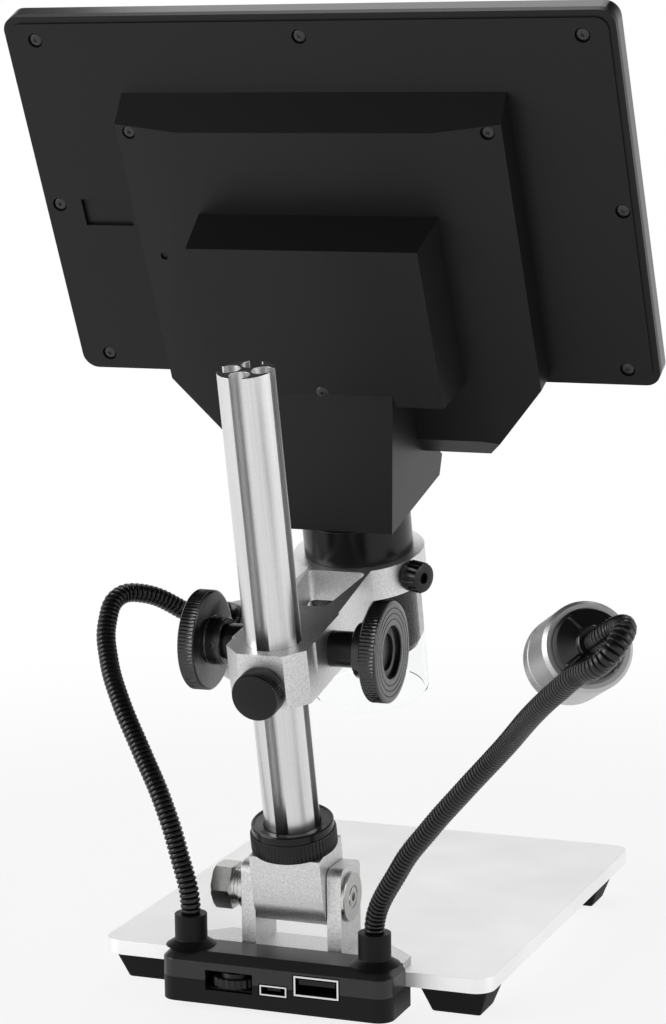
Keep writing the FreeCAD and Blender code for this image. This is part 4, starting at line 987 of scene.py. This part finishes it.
def lamp_head(name, place, aim):
    head = DRAWING @ at(*place) @ facing(aim)
    shell = turned(name + "_lamp_shell", [
        (3.9, 0.0), (4.2, 0.3), (4.2, 1.9), (4.6, 2.2), (7.5, 2.8), (8.6, 3.4), (9.1, 4.3),
        (SHELL_RADIUS, 5.4), (SHELL_RADIUS, SHELL_SEAM - 0.2), (SHELL_RADIUS - 0.2, SHELL_SEAM),
        (8.7, SHELL_SEAM)], steps=72)
    settle(shell, head, name + "_lamp", "button_plastic", SHELL_GLOSS, (name + "_lamp_cap",))
    for number in range(4):
        rib = lamp_rib(math.radians(LAMP_RIB_TURN + 90 * number))
        rib.name = rib.data.name = f"{name}_lamp_rib_{number}"
        rounded(rib, 0.2)
        settle(rib, head, name + "_lamp", "button_plastic", SHELL_GLOSS)
    tube = turned(name + "_lamp_tube", [
        (8.6, SHELL_SEAM + 0.05), (LAMP_RADIUS - 0.9, SHELL_SEAM + 0.05),
        (LAMP_RADIUS, SHELL_SEAM + 1.2), (LAMP_RADIUS, 22.8), (LAMP_RADIUS - 0.35, 23.1),
        (LAMP_RADIUS - 0.35, 23.6), (LAMP_RADIUS, 23.9), (LAMP_RADIUS, LAMP_MOUTH - 0.6),
        (LAMP_RADIUS - 0.5, LAMP_MOUTH), (10.1, LAMP_MOUTH), (9.7, LAMP_MOUTH - 0.4),
        (9.62, 20.0)], steps=72, ends="bridged")
    settle(tube, head, name + "_lamp", "lamp_silver", replaces=(name + "_lamp_body",))


SHELL_GLOSS = grained("shell_gloss", colour=0.004, rough=0.10, grain=900.0, depth=0.000001,
                      gloss=0.5)
for name, facts in NECKS.items():
    lamp_head(name, facts["lamp"], facts["aim"])

# %% [markdown]
# The hinge bolt's head is a wide flat disc on the outside of one ear, with a small six-sided
# socket in its middle. Bolt and disc are turned as one, and a six-sided cutter sinks the
# socket. On the other ear two washers, a flat one and a spring one, lie under the nut. They
# are turned as one ring with a groove between them.

# %% Hinge cap and washers
EAR_OUTER = 14.9
CAP_RADIUS, SHANK_RADIUS, SHANK_END = 7.0, 3.98, -40.3
SOCKET_RADIUS, SOCKET_FLOOR = 1.35, 0.4
cap = turned("hinge_cap", [
    (SHANK_RADIUS - 0.58, SHANK_END), (SHANK_RADIUS, SHANK_END + 0.6), (SHANK_RADIUS, -0.05),
    (CAP_RADIUS - 0.3, -0.05), (CAP_RADIUS, 0.2), (CAP_RADIUS, 0.85), (CAP_RADIUS - 0.2, 1.05),
    (3.25, 1.1), (3.1, 0.8), (2.8, 0.8), (2.65, 1.15), (2.1, 1.2)])
fresh()
bpy.ops.mesh.primitive_circle_add(vertices=6, radius=SOCKET_RADIUS * MM,
                                  location=(0, 0, SOCKET_FLOOR * MM), fill_type="NGON")
socket = start("socket_cutter")
bpy.ops.mesh.select_all(action="SELECT")
bpy.ops.mesh.extrude_region_move(TRANSFORM_OT_translate={"value": (0, 0, 2 * MM)})
outward()
apply_modifier(cap, "BOOLEAN", object=socket, operation="DIFFERENCE", solver="EXACT")
bpy.data.objects.remove(socket)
settle(cap, DRAWING @ at(-EAR_OUTER, *HINGE) @ facing((-1, 0, 0)), "base", "zinc_steel",
       replaces=("hinge_bolt",))
washers = turned("hinge_washer_pair", [
    (4.02, 0.02), (6.0, 0.02), (6.15, 0.2), (6.15, 1.4), (6.0, 1.58), (5.4, 1.6), (5.4, 2.6),
    (5.15, 2.7), (5.15, 2.85), (5.4, 2.95), (5.4, 3.98), (4.02, 3.98)], ends="bridged")
settle(washers, DRAWING @ at(EAR_OUTER, *HINGE) @ facing((1, 0, 0)), "base", "zinc_steel",
       replaces=("hinge_washers",))
